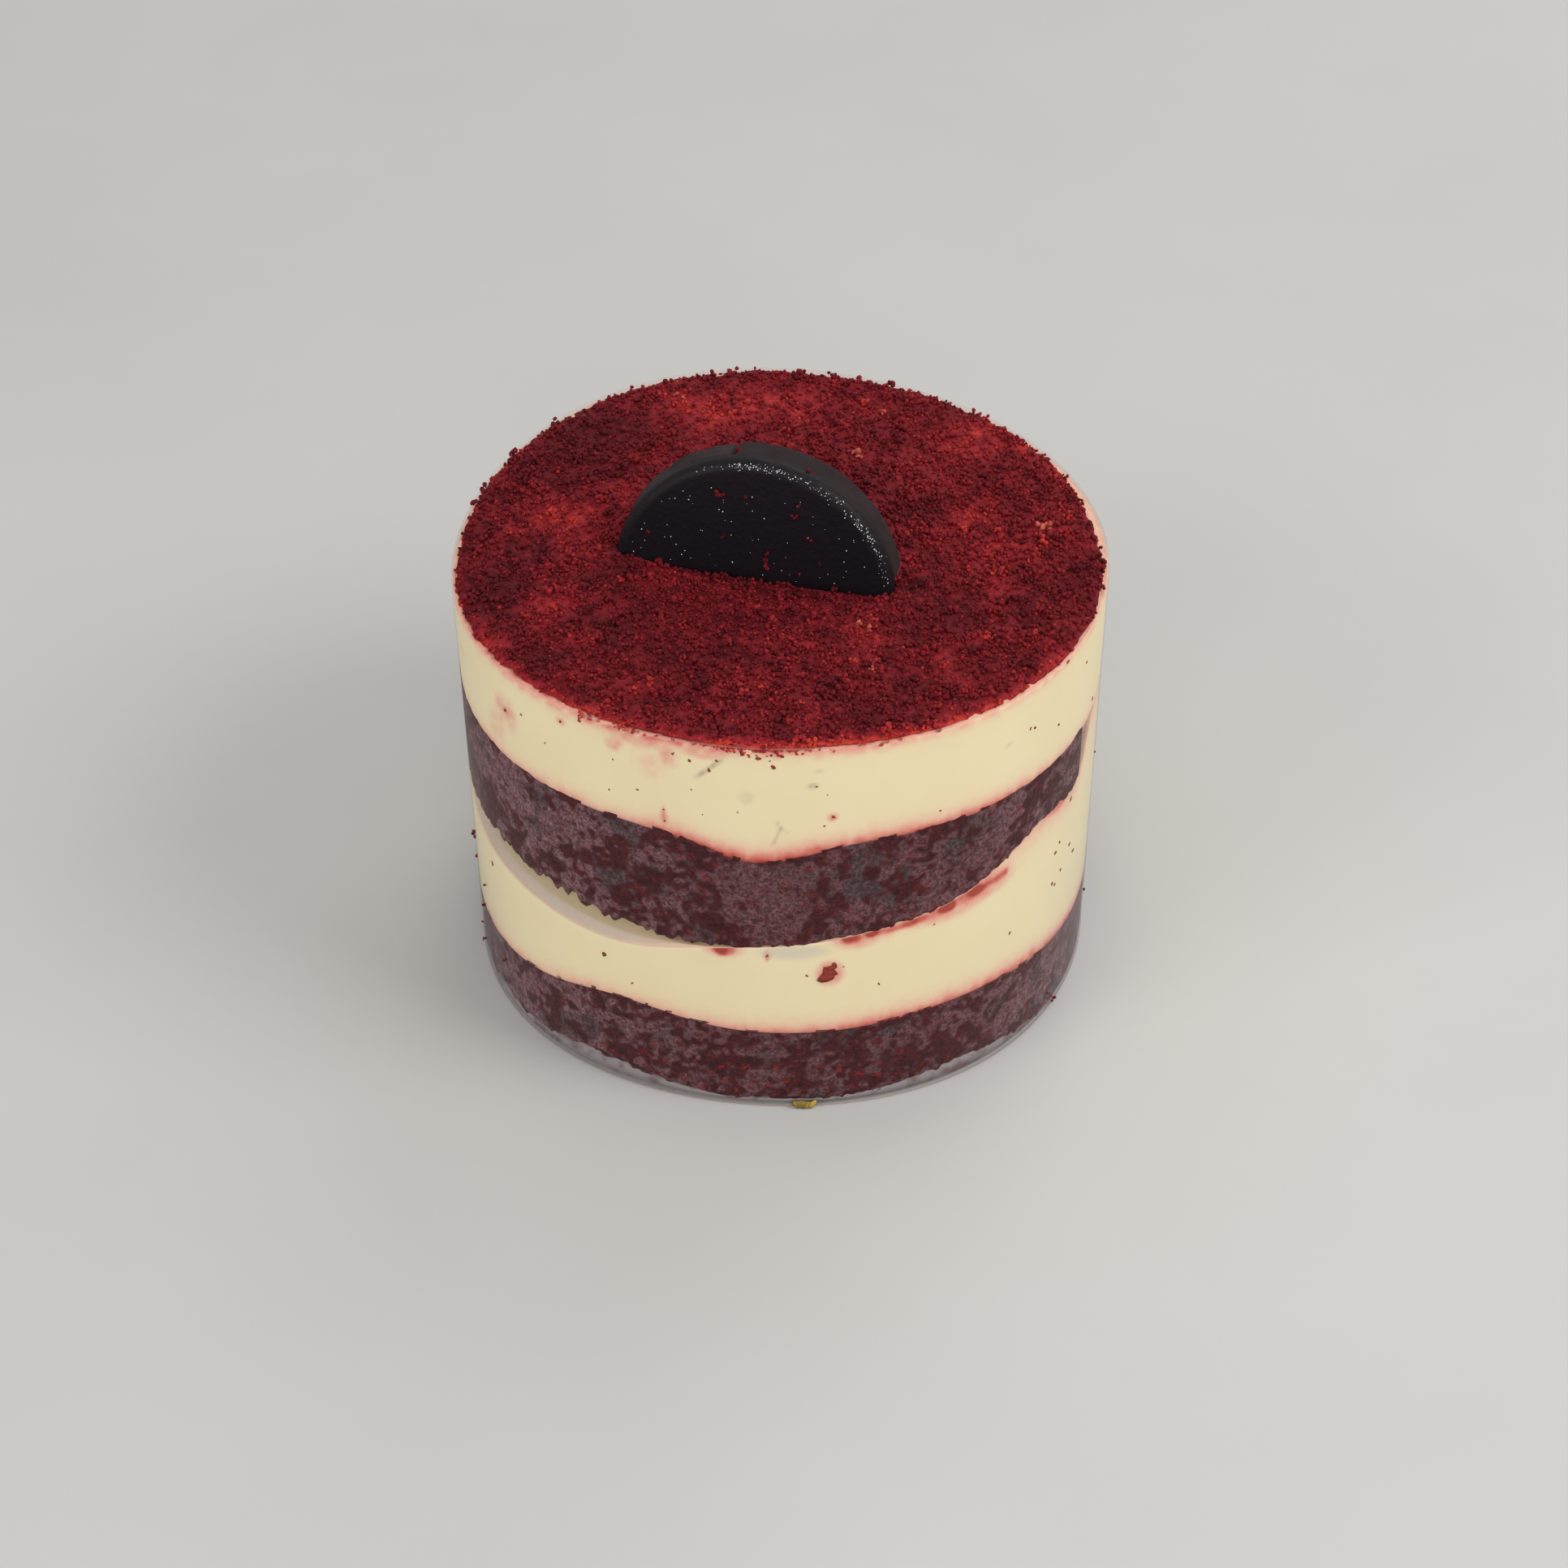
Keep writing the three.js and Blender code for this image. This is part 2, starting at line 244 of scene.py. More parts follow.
def spun(rings, bottom, top):
    """Points of a closed form: rings of (radius, z), each with a value for each heading, and its ends."""
    points = [spot(HEADINGS, radius, np.broadcast_to(z, HEADINGS.shape)) for radius, z in rings]
    points.append(np.array([[0, 0, bottom], [0, 0, top]], float))
    return np.concatenate(points), spun_faces(len(rings), AROUND)


def grain(points, size, seed=0):
    """Soft lumps about `size` across, from 0 to 1, at each point."""
    place = points / size + 31.7 * seed
    cell = np.floor(place).astype(np.int64)
    within = place - cell
    within = within * within * (3 - 2 * within)
    total = np.zeros(points.shape[:-1])
    for corner in itertools.product((0, 1), repeat=3):
        at = cell + np.array(corner)
        mixed = (at[..., 0] * 73856093) ^ (at[..., 1] * 19349663) ^ (at[..., 2] * 83492791)
        mixed = (mixed ^ (mixed >> 13)) * 1274126177
        value = ((mixed ^ (mixed >> 16)) & 0xFFFF) / 65535
        near = np.where(np.array(corner) == 1, within, 1 - within)
        total = total + value * near[..., 0] * near[..., 1] * near[..., 2]
    return total


def mixed_grain(points, *layers):
    """Several grains on top of each other, each given as (size, strength), brought to 0 to 1."""
    total = sum(strength * grain(points, size, seed) for seed, (size, strength) in enumerate(layers))
    return total / sum(strength for _, strength in layers)


def step(value, low, high):
    """A soft step from 0 at low to 1 at high."""
    share = np.clip((value - low) / (high - low), 0, 1)
    return share * share * (3 - 2 * share)


def relief(material, height, strength, distance, **under):
    """A normal bumped by a height, on top of another normal where one is given."""
    inputs = {"Height": height, "Strength": strength, "Distance": distance, **under}
    return add(material, "Bump", inputs, "Normal")


def multiply_add(material, value, factor, more):
    return add(material, "Math", {0: value, 1: factor, 2: more}, "Value", operation="MULTIPLY_ADD")


def surface(material, share, under, over):
    """Gives a material a surface mixed of two shaders."""
    whole = add(material, "MixShader", {"Fac": share, 1: under, 2: over}, "Shader")
    fill(material, material.node_tree.nodes["Material Output"], {"Surface": whole})


clear_plastic = new_material("clear_plastic")
see_through = add(clear_plastic, "BsdfTransparent", {"Color": (0.985, 0.985, 0.98, 1)}, "BSDF")
wavy = relief(clear_plastic, noise(clear_plastic, 55.0, 1.0), 0.12, 0.004)
gloss = add(clear_plastic, "BsdfAnisotropic", {"Roughness": 0.07, "Normal": wavy}, "BSDF")
edge_on = add(clear_plastic, "LayerWeight", {"Blend": 0.5}, "Facing")
steepness = add(clear_plastic, "Math", {0: edge_on, 1: 5.0}, "Value", operation="POWER")
mirror = multiply_add(clear_plastic, steepness, MIRROR_AT_EDGE, MIRROR_FACE_ON)
surface(clear_plastic, mirror, see_through, gloss)

# The cut edges: a painted highlight, a pale pinkish diffuse colour mixed into the clear plastic where the
# edges catch the light.
plastic_edge = new_material("cut_plastic_edge")
see_through = add(plastic_edge, "BsdfTransparent", {"Color": (0.97, 0.96, 0.955, 1)}, "BSDF")
finish(plastic_edge, {"Base Color": EDGE_GLEAM_TINT, "Roughness": 0.6, "Specular IOR Level": 0.1})
painted_gleam = plastic_edge.node_tree.nodes["Principled BSDF"].outputs["BSDF"]
surface(plastic_edge, EDGE_GLEAM_SHARE, see_through, painted_gleam)

# The base edge rings and the rim rings get the painted highlight of the cut edges.
BASE_EDGE_RINGS = (1, 2)
RIM_RINGS = (5, 6, 7)
rim_radius = wall_radius(HEADINGS, CUP_HEIGHT)
cup_rings = [
    (wall_radius(HEADINGS, 0) - 4.0, 0.0),
    (wall_radius(HEADINGS, 0) - CUP_BASE_EDGE, 0.0),
    (wall_radius(HEADINGS, 0) - 0.12, 0.14),
    (wall_radius(HEADINGS, CUP_BASE_EDGE), CUP_BASE_EDGE),
    (wall_radius(HEADINGS, CUP_HEIGHT / 2), CUP_HEIGHT / 2),
    (rim_radius, CUP_HEIGHT - RIM_ROUNDING),
    (rim_radius - 0.1, CUP_HEIGHT),
    (rim_radius - CUP_WALL + 0.1, CUP_HEIGHT),
    (rim_radius - CUP_WALL, CUP_HEIGHT - RIM_ROUNDING),
    (wall_radius(HEADINGS, 1.2) - CUP_WALL, 1.2),
    (wall_radius(HEADINGS, CUP_FLOOR) - CUP_WALL - 0.5, CUP_FLOOR),
]
points, faces = spun(cup_rings, 0.0, CUP_FLOOR)
clear_cup = new_piece("clear_cup", points, faces, {}, clear_plastic, "cup")
clear_cup.data.materials.append(plastic_edge)
for ring in BASE_EDGE_RINGS + RIM_RINGS:
    for face in range(ring * AROUND, (ring + 1) * AROUND):
        clear_cup.data.polygons[face].material_index = 1


# Sponges: two discs of red velvet sponge, cut from a sheet and laid in the cup. Where the open crumb is
# pressed wet against the wall it shows dark, and where it stands off the wall its colour has a painted
# reflection of the wall over it, a mauve haze, paler still at the far left and right sides.
LOWER_SPONGE_TOP = 10.4
UPPER_SPONGE_UNDERSIDE = 30.4
UPPER_SPONGE_TOP = 43.3
SKIN_DEPTH = 0.1
SPONGE_WET = (0.034, 0.0026, 0.0058, 1)
SPONGE_WET_RED = (0.066, 0.0050, 0.0080, 1)
SPONGE_DUSK = (0.082, 0.030, 0.033, 1)
SPONGE_HAZE = (0.126, 0.052, 0.060, 1)
SPONGE_REFLECTION_TINT = (0.200, 0.105, 0.120, 1)
SPONGE_GREY = (0.057, 0.039, 0.041, 1)
SPONGE_BROWN = (0.115, 0.016, 0.015, 1)
SPONGE_BRIGHT = (0.22, 0.010, 0.010, 1)
BLACK = (0, 0, 0, 1)
WHITE = (1, 1, 1, 1)


def bump(heading, centre, width, power=2):
    """1 at one heading, fading to 0 at about `width` degrees to either side."""
    apart = (heading - centre + 180) % 360 - 180
    return np.exp(-(np.abs(apart / width) ** power))


def tilt(heading, towards):
    return np.cos(np.radians(heading - towards))


def torn(heading, z, coarse, fine):
    """A torn line's departures from its smooth line, in millimetres."""
    points = spot(heading, CUP_BASE_RADIUS, z + np.zeros_like(heading))
    spiky = 0.7 * step(grain(points, 0.8, 4), 0.3, 0.7) + 0.5 * grain(points, 0.42, 8) - 0.6
    return coarse * (grain(points, 2.1, 3) - 0.5) * 2 + fine * spiky * 2


def lower_sponge_top(heading):
    shape = 2.5 * bump(heading, -120, 15.5) + 1.1 * bump(heading, -57, 17)
    return LOWER_SPONGE_TOP + 2.6 * tilt(heading, -75) + shape


def lower_sponge_foot(heading):
    return 2.2 + 1.06 * tilt(heading, 102) + 1.85 * bump(heading, -124, 12) + 1.7 * bump(heading, -56, 17)


def upper_sponge_underside(heading):
    return UPPER_SPONGE_UNDERSIDE + 0.9 * tilt(heading, 0) - 3.8 * bump(heading, -100, 36)


def upper_sponge_top(heading):
    return UPPER_SPONGE_TOP + 0.8 * tilt(heading, 176) - 3.1 * bump(heading, -94, 11.6)


def full_collar(heading):
    return bump(heading, 24, 46.8, 24)


def collar(heading):
    return np.maximum(bump(heading, 14, 64, 8), full_collar(heading))


def hollow(heading):
    return bump(heading, -142, 33, 4)


def cream_rim(heading):
    """The height at which the lower cream's edge meets the wall."""
    underside = upper_sponge_underside(heading)
    full = upper_sponge_top(heading) - underside
    raised = 5.2 * collar(heading)
    raised = raised + (full - raised) * full_collar(heading)
    return underside + raised - 4.6 * hollow(heading) - 1.6 * bump(heading, -29, 6)


def sponge_edge(heading):
    """The height at the wall of the upper sponge's lower edge."""
    return np.maximum(cream_rim(heading), upper_sponge_underside(heading))


def stored(material, mark):
    """The value that a piece's mesh holds under a name, at each point."""
    return add(material, "Attribute", {}, "Fac", attribute_name=mark)


def mixed(material, factor, a, b, blend_type="MIX"):
    inputs = {"Factor": factor, "A": a, "B": b}
    return add(material, "Mix", inputs, "Result", data_type="RGBA", blend_type=blend_type)


def multiply(material, a, b):
    return add(material, "Math", {0: a, 1: b}, "Value", operation="MULTIPLY")


def ranged(material, value, low, high, from_low=0.0, from_high=1.0):
    """A value brought from one range to the range from low to high."""
    inputs = {"Value": value, "From Min": from_low, "From Max": from_high, "To Min": low, "To Max": high}
    return add(material, "MapRange", inputs, "Result")


red_sponge = new_material("red_velvet_sponge")
coast = noise(red_sponge, 1150.0, 6.0, 0.68)
patches = noise(red_sponge, 700.0, 5.0, 0.7)
mottle = noise(red_sponge, 520.0, 6.0, 0.75)
flecks = noise(red_sponge, 800.0, 4.0, 0.6)
crumble = noise(red_sponge, 2300.0, 3.0, 0.75)
shadows = noise(red_sponge, 190.0, 3.0)
# The haze: the crumb's colour with a painted reflection of the wall over it, where the crumb stands off the
# wall.
haze_stops = [(0.38, SPONGE_BROWN), (0.42, SPONGE_DUSK), (0.48, SPONGE_HAZE), (0.56, SPONGE_HAZE)]
haze = colour_ramp(red_sponge, mottle, haze_stops + [(0.62, SPONGE_DUSK)])
# The paler painted reflection of the wall at the far left and right sides, where the wall is seen edge on.
reflection_tint = colour_ramp(red_sponge, mottle, [(0.40, SPONGE_HAZE), (0.50, SPONGE_REFLECTION_TINT), (0.60, SPONGE_HAZE)])
grey_share = colour_ramp(red_sponge, shadows, [(0.53, BLACK), (0.63, (0.8, 0.8, 0.8, 1))])
off_wall = mixed(red_sponge, stored(red_sponge, "painted_reflection"), haze, reflection_tint)
off_wall = mixed(red_sponge, grey_share, off_wall, SPONGE_GREY)
wet_stops = [(0.42, SPONGE_WET), (0.52, SPONGE_WET_RED), (0.60, SPONGE_WET), (0.64, SPONGE_BROWN)]
on_wall = colour_ramp(red_sponge, patches, wet_stops)
ragged = multiply_add(red_sponge, coast, 1.7, stored(red_sponge, "touch"))
pressed = colour_ramp(red_sponge, ragged, [(0.475, BLACK), (0.525, WHITE)])
crumb = mixed(red_sponge, pressed, off_wall, on_wall)
fleck_edge = colour_ramp(red_sponge, flecks, [(0.60, BLACK), (0.63, WHITE)])
fleck_share = multiply(red_sponge, fleck_edge, stored(red_sponge, "fresh"))
crumb = mixed(red_sponge, fleck_share, crumb, SPONGE_BRIGHT)
# Fine crumb grain, whose brightest whitish dots are painted glints of light on the moist crumb.
grain_and_glint_stops = [(0.38, (0.50, 0.44, 0.44, 1)), (0.50, WHITE), (0.63, (1.6, 1.7, 1.7, 1))]
grains = colour_ramp(red_sponge, crumble, grain_and_glint_stops)
finish(red_sponge, {
    "Base Color": mixed(red_sponge, 1.0, crumb, grains, "MULTIPLY"),
    "Roughness": ranged(red_sponge, pressed, 0.9, 0.55),
    "Specular IOR Level": 0.15,
    "Normal": relief(red_sponge, coast, 0.5, 0.0004),
})


def sponge(name, node, underside, tuck, foot, crown, crown_middle, set_back, rows, wetness, freshness, seed):
    """A sponge from its underside up its side, from the torn foot to the crown, and in under the cream."""
    z = foot + (crown - foot) * np.linspace(0, 1, rows)[:, None]
    points = spot(HEADINGS, CUP_BASE_RADIUS, z)
    touch = mixed_grain(points + 50 * seed, (4.6, 0.3), (1.9, 0.5), (0.8, 0.5)) + wetness(z)
    touch = 1.6 * (touch - np.median(touch)) + 0.5
    crumb = mixed_grain(points, (0.95, 0.5), (0.45, 0.5))
    facing = bump(HEADINGS, -90, 40, 4)
    gap = (0.05 + 0.15 * crumb) * (1 - step(touch, 0.46, 0.54)) * facing
    rounded = 0.55 * crumb * (1 - step(z - foot, 0.0, 0.7))
    radius = wall_radius(HEADINGS, z) - SKIN_DEPTH - gap - rounded - set_back
    low, high = radius[0], radius[-1]
    rings = [(low * 0.5, underside), (low - tuck, underside)]
    rings.append((low - 0.3 * tuck, 0.3 * underside + 0.7 * foot))
    rings += list(zip(radius, z))
    rings += [(high - 0.6, crown), (high * 0.6, crown_middle + (crown - crown_middle) * 0.4)]
    points, faces = spun(rings, float(np.mean(underside)), crown_middle)
    ends = np.full(3 * AROUND, 0.4), np.full(2 * AROUND + 2, 0.4)
    marks = {
        "touch": np.concatenate([ends[0], touch.ravel() - 0.85, ends[1]]),
        "fresh": np.concatenate([ends[0], np.broadcast_to(freshness(z), z.shape).ravel(), ends[1]]),
        "painted_reflection": np.concatenate([ends[0] * 0, np.tile(SIDE_PAINTED_REFLECTION, rows), ends[1] * 0]),
    }
    return new_piece(name, points, faces, marks, red_sponge, node)


# How strongly the paler painted reflection lies over the sponges at each heading, at the far left and right.
SIDE_PAINTED_REFLECTION = 0.95 * bump(HEADINGS, -158, 47, 4) + 0.85 * bump(HEADINGS, -26, 27, 3)
floor_top = CUP_FLOOR + 0.05
foot = lower_sponge_foot(HEADINGS) - 0.7 * bump(HEADINGS, -25, 18)
lower_crown = lower_sponge_top(HEADINGS) + torn(HEADINGS, 9.0, 0.22, 0.1)
sponge(
    name="lower_sponge_crumb",
    node="lower_sponge",
    underside=np.full(AROUND, floor_top),
    tuck=1.2 + 1.3 * foot,
    foot=np.maximum(foot - 0.35 + torn(HEADINGS, 0.0, 0.4, 0.45), floor_top + 0.1),
    crown=lower_crown,
    crown_middle=LOWER_SPONGE_TOP,
    set_back=0.05,
    rows=42,
    wetness=lambda z: 0.03 * bump(HEADINGS, -72, 25) - 0.05 * bump(HEADINGS, -150, 20)
    - 0.04 * bump(HEADINGS, -30, 14),
    freshness=lambda z: (0.25 + 0.75 * bump(HEADINGS, -100, 18)) * (1 - step(z, 5.5, 9.0)) + 0.22,
    seed=1,
)

in_hollow = hollow(HEADINGS)
ragged_foot = torn(HEADINGS, 28.0, 0.35, 0.6) * (0.55 + 0.65 * in_hollow)
upper_foot_line = sponge_edge(HEADINGS) + ragged_foot - 0.45 * (1 - in_hollow)
upper_crown = upper_sponge_top(HEADINGS) + torn(HEADINGS, 43.0, 0.2, 0.12)
sponge(
    name="upper_sponge_crumb",
    node="upper_sponge",
    underside=upper_sponge_underside(HEADINGS) + 0.3,
    tuck=2.0,
    foot=np.minimum(upper_foot_line, upper_crown - 0.4),
    crown=upper_crown,
    crown_middle=UPPER_SPONGE_TOP,
    set_back=2.6 * full_collar(HEADINGS),
    rows=52,
    wetness=lambda z: 0.06 * bump(HEADINGS, -112, 12) - 0.06 * bump(HEADINGS, -92, 7)
    + bump(HEADINGS, -143, 22) * (0.07 - 0.17 * step(z, 34, 38.5))
    + 0.06 * bump(HEADINGS, -38, 12) * step(z, 36, 39)
    - 0.07 * bump(HEADINGS, -50, 16) - 0.06 * bump(HEADINGS, -124, 9)
    + 0.06 * step(z - upper_sponge_top(HEADINGS), -2.2, -0.6),
    freshness=lambda z: 0.28 + 0.3 * bump(HEADINGS, -103, 6),
    seed=2,
)


# Creams: pale cream-cheese cream, piped in over each sponge and smoothed. It lies flat against the wall,
# and the sponges' red has bled into its edges. At the left it falls short of the upper sponge, and at the
# right it has been squeezed up past the sponge's side.
CREAM_TOP = 56.5
DISH_BOTTOM = CREAM_TOP - 2.6
FILL_DEPTH = SKIN_DEPTH + 0.05
CREAM_PALE = (0.858, 0.738, 0.468, 1)
CREAM_WARM = (0.842, 0.712, 0.446, 1)
# A painted haze colour, for the wall's reflection where the cream stands off the wall, and a painted shade
# colour for the hollow.
CREAM_PAINTED_HAZE = (0.52, 0.47, 0.43, 1)
CREAM_SHADE = (0.50, 0.42, 0.18, 1)
MARK_GREY = (0.40, 0.31, 0.20, 1)
RED_STRENGTHS = (0.0, 0.15, 0.35, 0.6, 1.0, 1.5, 2.2, 3.0)
RED_SOAK = (0.10, 1.0, 0.68)
DEEP_SOAK = (0.27, 1.0, 1.10)

cream = new_material("cream_cheese_cream")
soaked = []
for strength in RED_STRENGTHS:
    share = strength / RED_STRENGTHS[-1]
    soaks = [soft + (deep - soft) * share for soft, deep in zip(RED_SOAK, DEEP_SOAK)]
    soaked.append((share, (*(math.exp(-soak * strength) for soak in soaks), 1)))
body = colour_ramp(cream, noise(cream, 90.0, 3.0), [(0.35, CREAM_WARM), (0.65, CREAM_PALE)])
uneven = ranged(cream, noise(cream, 850.0, 3.0), 0.24, 0.43, 0.3, 0.7)
dye = colour_ramp(cream, multiply(cream, stored(cream, "bleed"), uneven), soaked)
colour = mixed(cream, 1.0, body, dye, "MULTIPLY")
# Grey marks, painted shade, and a painted haze that stands in for the wall's reflection where the cream
# stands off the wall.
for mark, tint in (("mark", MARK_GREY), ("shade", CREAM_SHADE), ("painted_haze", CREAM_PAINTED_HAZE)):
    colour = mixed(cream, stored(cream, mark), colour, tint)
ripples = relief(cream, noise(cream, 260.0, 2.0), 0.12, 0.0005)
finish(cream, {"Base Color": colour, "Roughness": 0.5, "Normal": ripples})


def stain(z, at_heading, at_z, wide, tall, strength):
    """A soft round stain on the wall, `wide` and `tall` in millimetres."""
    along = np.radians((HEADINGS - at_heading + 180) % 360 - 180) * CUP_RIM_RADIUS
    away = np.hypot(along / wide, (z - at_z) / tall)
    return strength * (1 - step(away, 0.35, 1.0))


def streak(z, start, end, wide, strength):
    """A thin soft line on the wall between two (heading, height) places."""
    scale = np.radians(1.0) * CUP_RIM_RADIUS
    ax, ay = start[0] * scale, start[1]
    bx, by = end[0] * scale - ax, end[1] - ay
    px, py = HEADINGS * scale - ax, z - ay
    share = np.clip((px * bx + py * by) / (bx * bx + by * by), 0, 1)
    away = np.hypot(px - share * bx, py - share * by)
    return strength * (1 - step(away, 0.0, wide))


def marks_at(z, shape, places):
    """All stains or all streaks of a table, added up round the wall at a height."""
    return sum(shape(z, *place) for place in places)


def bleeding(distance, reach, strength):
    """How strongly a sponge's red shows at a distance from it."""
    return strength * np.exp(-np.maximum(distance, 0) / reach)


def cream_layer(name, node, rows, ends):
    """A cream layer from rows of (radius, z, bleed, mark, shade, painted haze) and the two heights of its
    middle.
    """
    points, faces = spun([(radius, z) for radius, z, *_ in rows], *ends)
    marks = {}
    for i, mark in enumerate(("bleed", "mark", "shade", "painted_haze"), start=2):
        values = [np.broadcast_to(row[i], HEADINGS.shape) for row in rows]
        marks[mark] = np.concatenate([*values, np.zeros(2)])
    return new_piece(name, points, faces, marks, cream, node)


# Stains as (heading, height up the wall, half width, half height, strength), and streaks as (start, end,
# half width, strength)
LOWER_BLOTS = (
    (-100.3, 26.2, 2.0, 1.6, 3.2), (-77.9, 27.9, 1.6, 1.4, 3.0), (-100.4, 26.3, 1.0, 0.8, 3.0),
    (-78.2, 27.9, 0.9, 0.7, 3.5), (-60.6, 29.6, 1.2, 0.6, 4.2), (-54.9, 30.3, 1.1, 0.6, 3.5),
    (-74.5, 28.3, 1.2, 0.9, 2.4), (-92.5, 25.4, 0.5, 1.2, 1.5), (-60.8, 29.3, 1.8, 1.0, 3.2),
    (-54.9, 30.1, 1.8, 1.0, 3.2), (-42.0, 36.6, 5.5, 1.6, 0.9), (-34.0, 35.6, 5.0, 2.2, 0.9),
)
LOWER_HALOES = (
    (-100.3, 26.6, 3.8, 2.6, 0.55), (-77.0, 27.9, 4.2, 2.4, 0.55), (-60.5, 29.3, 7.5, 2.8, 0.5),
    (-53.0, 30.3, 6.0, 2.8, 0.5), (-81.6, 22.4, 2.3, 2.6, 0.8),
)
# Painted haze: greyish patches near the cream's upper edge, standing in for the wall's reflection where the
# cream stands off it.
LOWER_PAINTED_HAZES = ((-48.5, 34.4, 3.4, 1.7, 0.55), (-88.0, 26.0, 6.0, 1.7, 0.5))
LOWER_STREAKS = (
    ((-74.5, 28.0), (-65.0, 28.7), 0.8, 1.3), ((-54.0, 30.2), (-48.6, 30.7), 0.9, 2.0),
)

lower_base = lower_sponge_top(HEADINGS)
rim = cream_rim(HEADINGS)
underside = upper_sponge_underside(HEADINGS)
low_red = 0.5 + 1.0 * bump(HEADINGS, -52, 44, 6)
z = LOWER_SPONGE_TOP + (lower_base - LOWER_SPONGE_TOP) * 0.36
rows = [(wall_radius(HEADINGS, 12) * 0.6, z, 1.5, 0, 0, 0)]
for share in np.linspace(0, 1, 56):
    z = lower_base - 0.3 + (rim - lower_base + 0.3) * share
    points = spot(HEADINGS, CUP_BASE_RADIUS, z)
    uneven = 0.55 + 0.9 * mixed_grain(points, (5.0, 1), (1.5, 0.6))
    low = bleeding(z - lower_crown, 0.85, low_red * uneven)
    high = bleeding(upper_foot_line - z, 0.6, 0.6 * bump(HEADINGS, -66, 14, 4) * uneven)
    wrap = bleeding(sponge_edge(HEADINGS) - z, 1.6, 0.75 * bump(HEADINGS, -33, 15))
    side = 0.1 * full_collar(HEADINGS) * step(z, 29, 36)
    blots = marks_at(z, stain, LOWER_BLOTS) + marks_at(z, streak, LOWER_STREAKS)
    blots = marks_at(z, stain, LOWER_HALOES) + blots * (0.25 + 1.1 * grain(points, 1.4, 9))
    red = low + high + wrap + side + blots
    hazed = marks_at(z, stain, LOWER_PAINTED_HAZES)
    rows.append((wall_radius(HEADINGS, z) - FILL_DEPTH, z, np.clip(red, 0, 5), 0, 0, hazed))
# The hollow at the left, as rows of (inset, rise, share of painted shade, share of painted haze): the
# painted haze stands in for the wall's reflection where the cream stands just off the wall, and the painted
# shade for the shade under the overhanging sponge.
hollow_rows = (
    (0.50, 0.10, 0.0, 0.35),
    (0.62, 0.70, 0.0, 0.75),
    (0.80, 1.40, 0.1, 0.70),
    (1.20, 1.75, 0.6, 0.25),
    (2.20, 2.40, 0.8, 0.0),
    (3.40, 3.60, 0.9, 0.0),
)
for inset, rise, shaded_share, hazed_share in hollow_rows:
    z = rim + np.minimum(rise, underside + 0.2 - rim) * in_hollow
    deep = inset * (0.3 + 0.7 * in_hollow) + 1.6 * collar(HEADINGS) * (inset - 0.5) / 2.9
    shaded_here, hazed_here = shaded_share * in_hollow, hazed_share * in_hollow
    rows.append((wall_radius(HEADINGS, z) - deep, z, 0.3, 0, shaded_here, hazed_here))
lip = rows[-1][0]
rows.append((lip - 1.4, underside + 0.2, 0.5, 0, 0.8 * in_hollow, 0))
rows.append((lip * 0.5, UPPER_SPONGE_UNDERSIDE + (underside - UPPER_SPONGE_UNDERSIDE) * 0.3, 1.0, 0, 0, 0))
cream_layer("lower_cream_fill", "lower_cream", rows, (LOWER_SPONGE_TOP, UPPER_SPONGE_UNDERSIDE))

UPPER_STAINS = (
    (-142.8, 50.8, 3.0, 3.6, 0.24), (-142.4, 51.4, 1.3, 1.3, 0.25), (-146.0, 47.5, 2.5, 3.5, 0.15),
    (-112.0, 53.5, 3.5, 4.0, 0.12), (-118.5, 54.2, 1.6, 1.4, 0.3), (-108.5, 54.2, 1.6, 2.2, 0.3),
    (-81.3, 46.8, 0.9, 0.9, 0.5), (-110.0, 45.2, 0.5, 2.2, 0.45), (-129.0, 54.6, 0.9, 1.1, 0.4),
    (-114.0, 55.6, 4.0, 1.2, 0.25), (-102.5, 55.6, 3.5, 1.2, 0.35),
)
# Grey spots and thin grey lines on the upper cream, given as stains and as streaks and mixed in as grey.
UPPER_GREY_SPOTS = (
    (-95.8, 49.6, 1.3, 1.3, 0.25), (-84.6, 51.5, 1.0, 0.6, 0.4), (-83.6, 53.6, 0.7, 0.5, 0.25),
    (-49.2, 50.6, 1.0, 0.6, 0.2), (-161.5, 51.2, 1.4, 1.4, 0.25),
)
UPPER_GREY_LINES = (
    ((-104.2, 51.9), (-99.8, 54.8), 0.55, 0.55), ((-91.3, 42.9), (-89.9, 45.4), 0.4, 0.35),
    ((-90.0, 45.3), (-90.7, 46.3), 0.3, 0.3), ((-90.0, 45.2), (-88.7, 44.6), 0.3, 0.3),
)

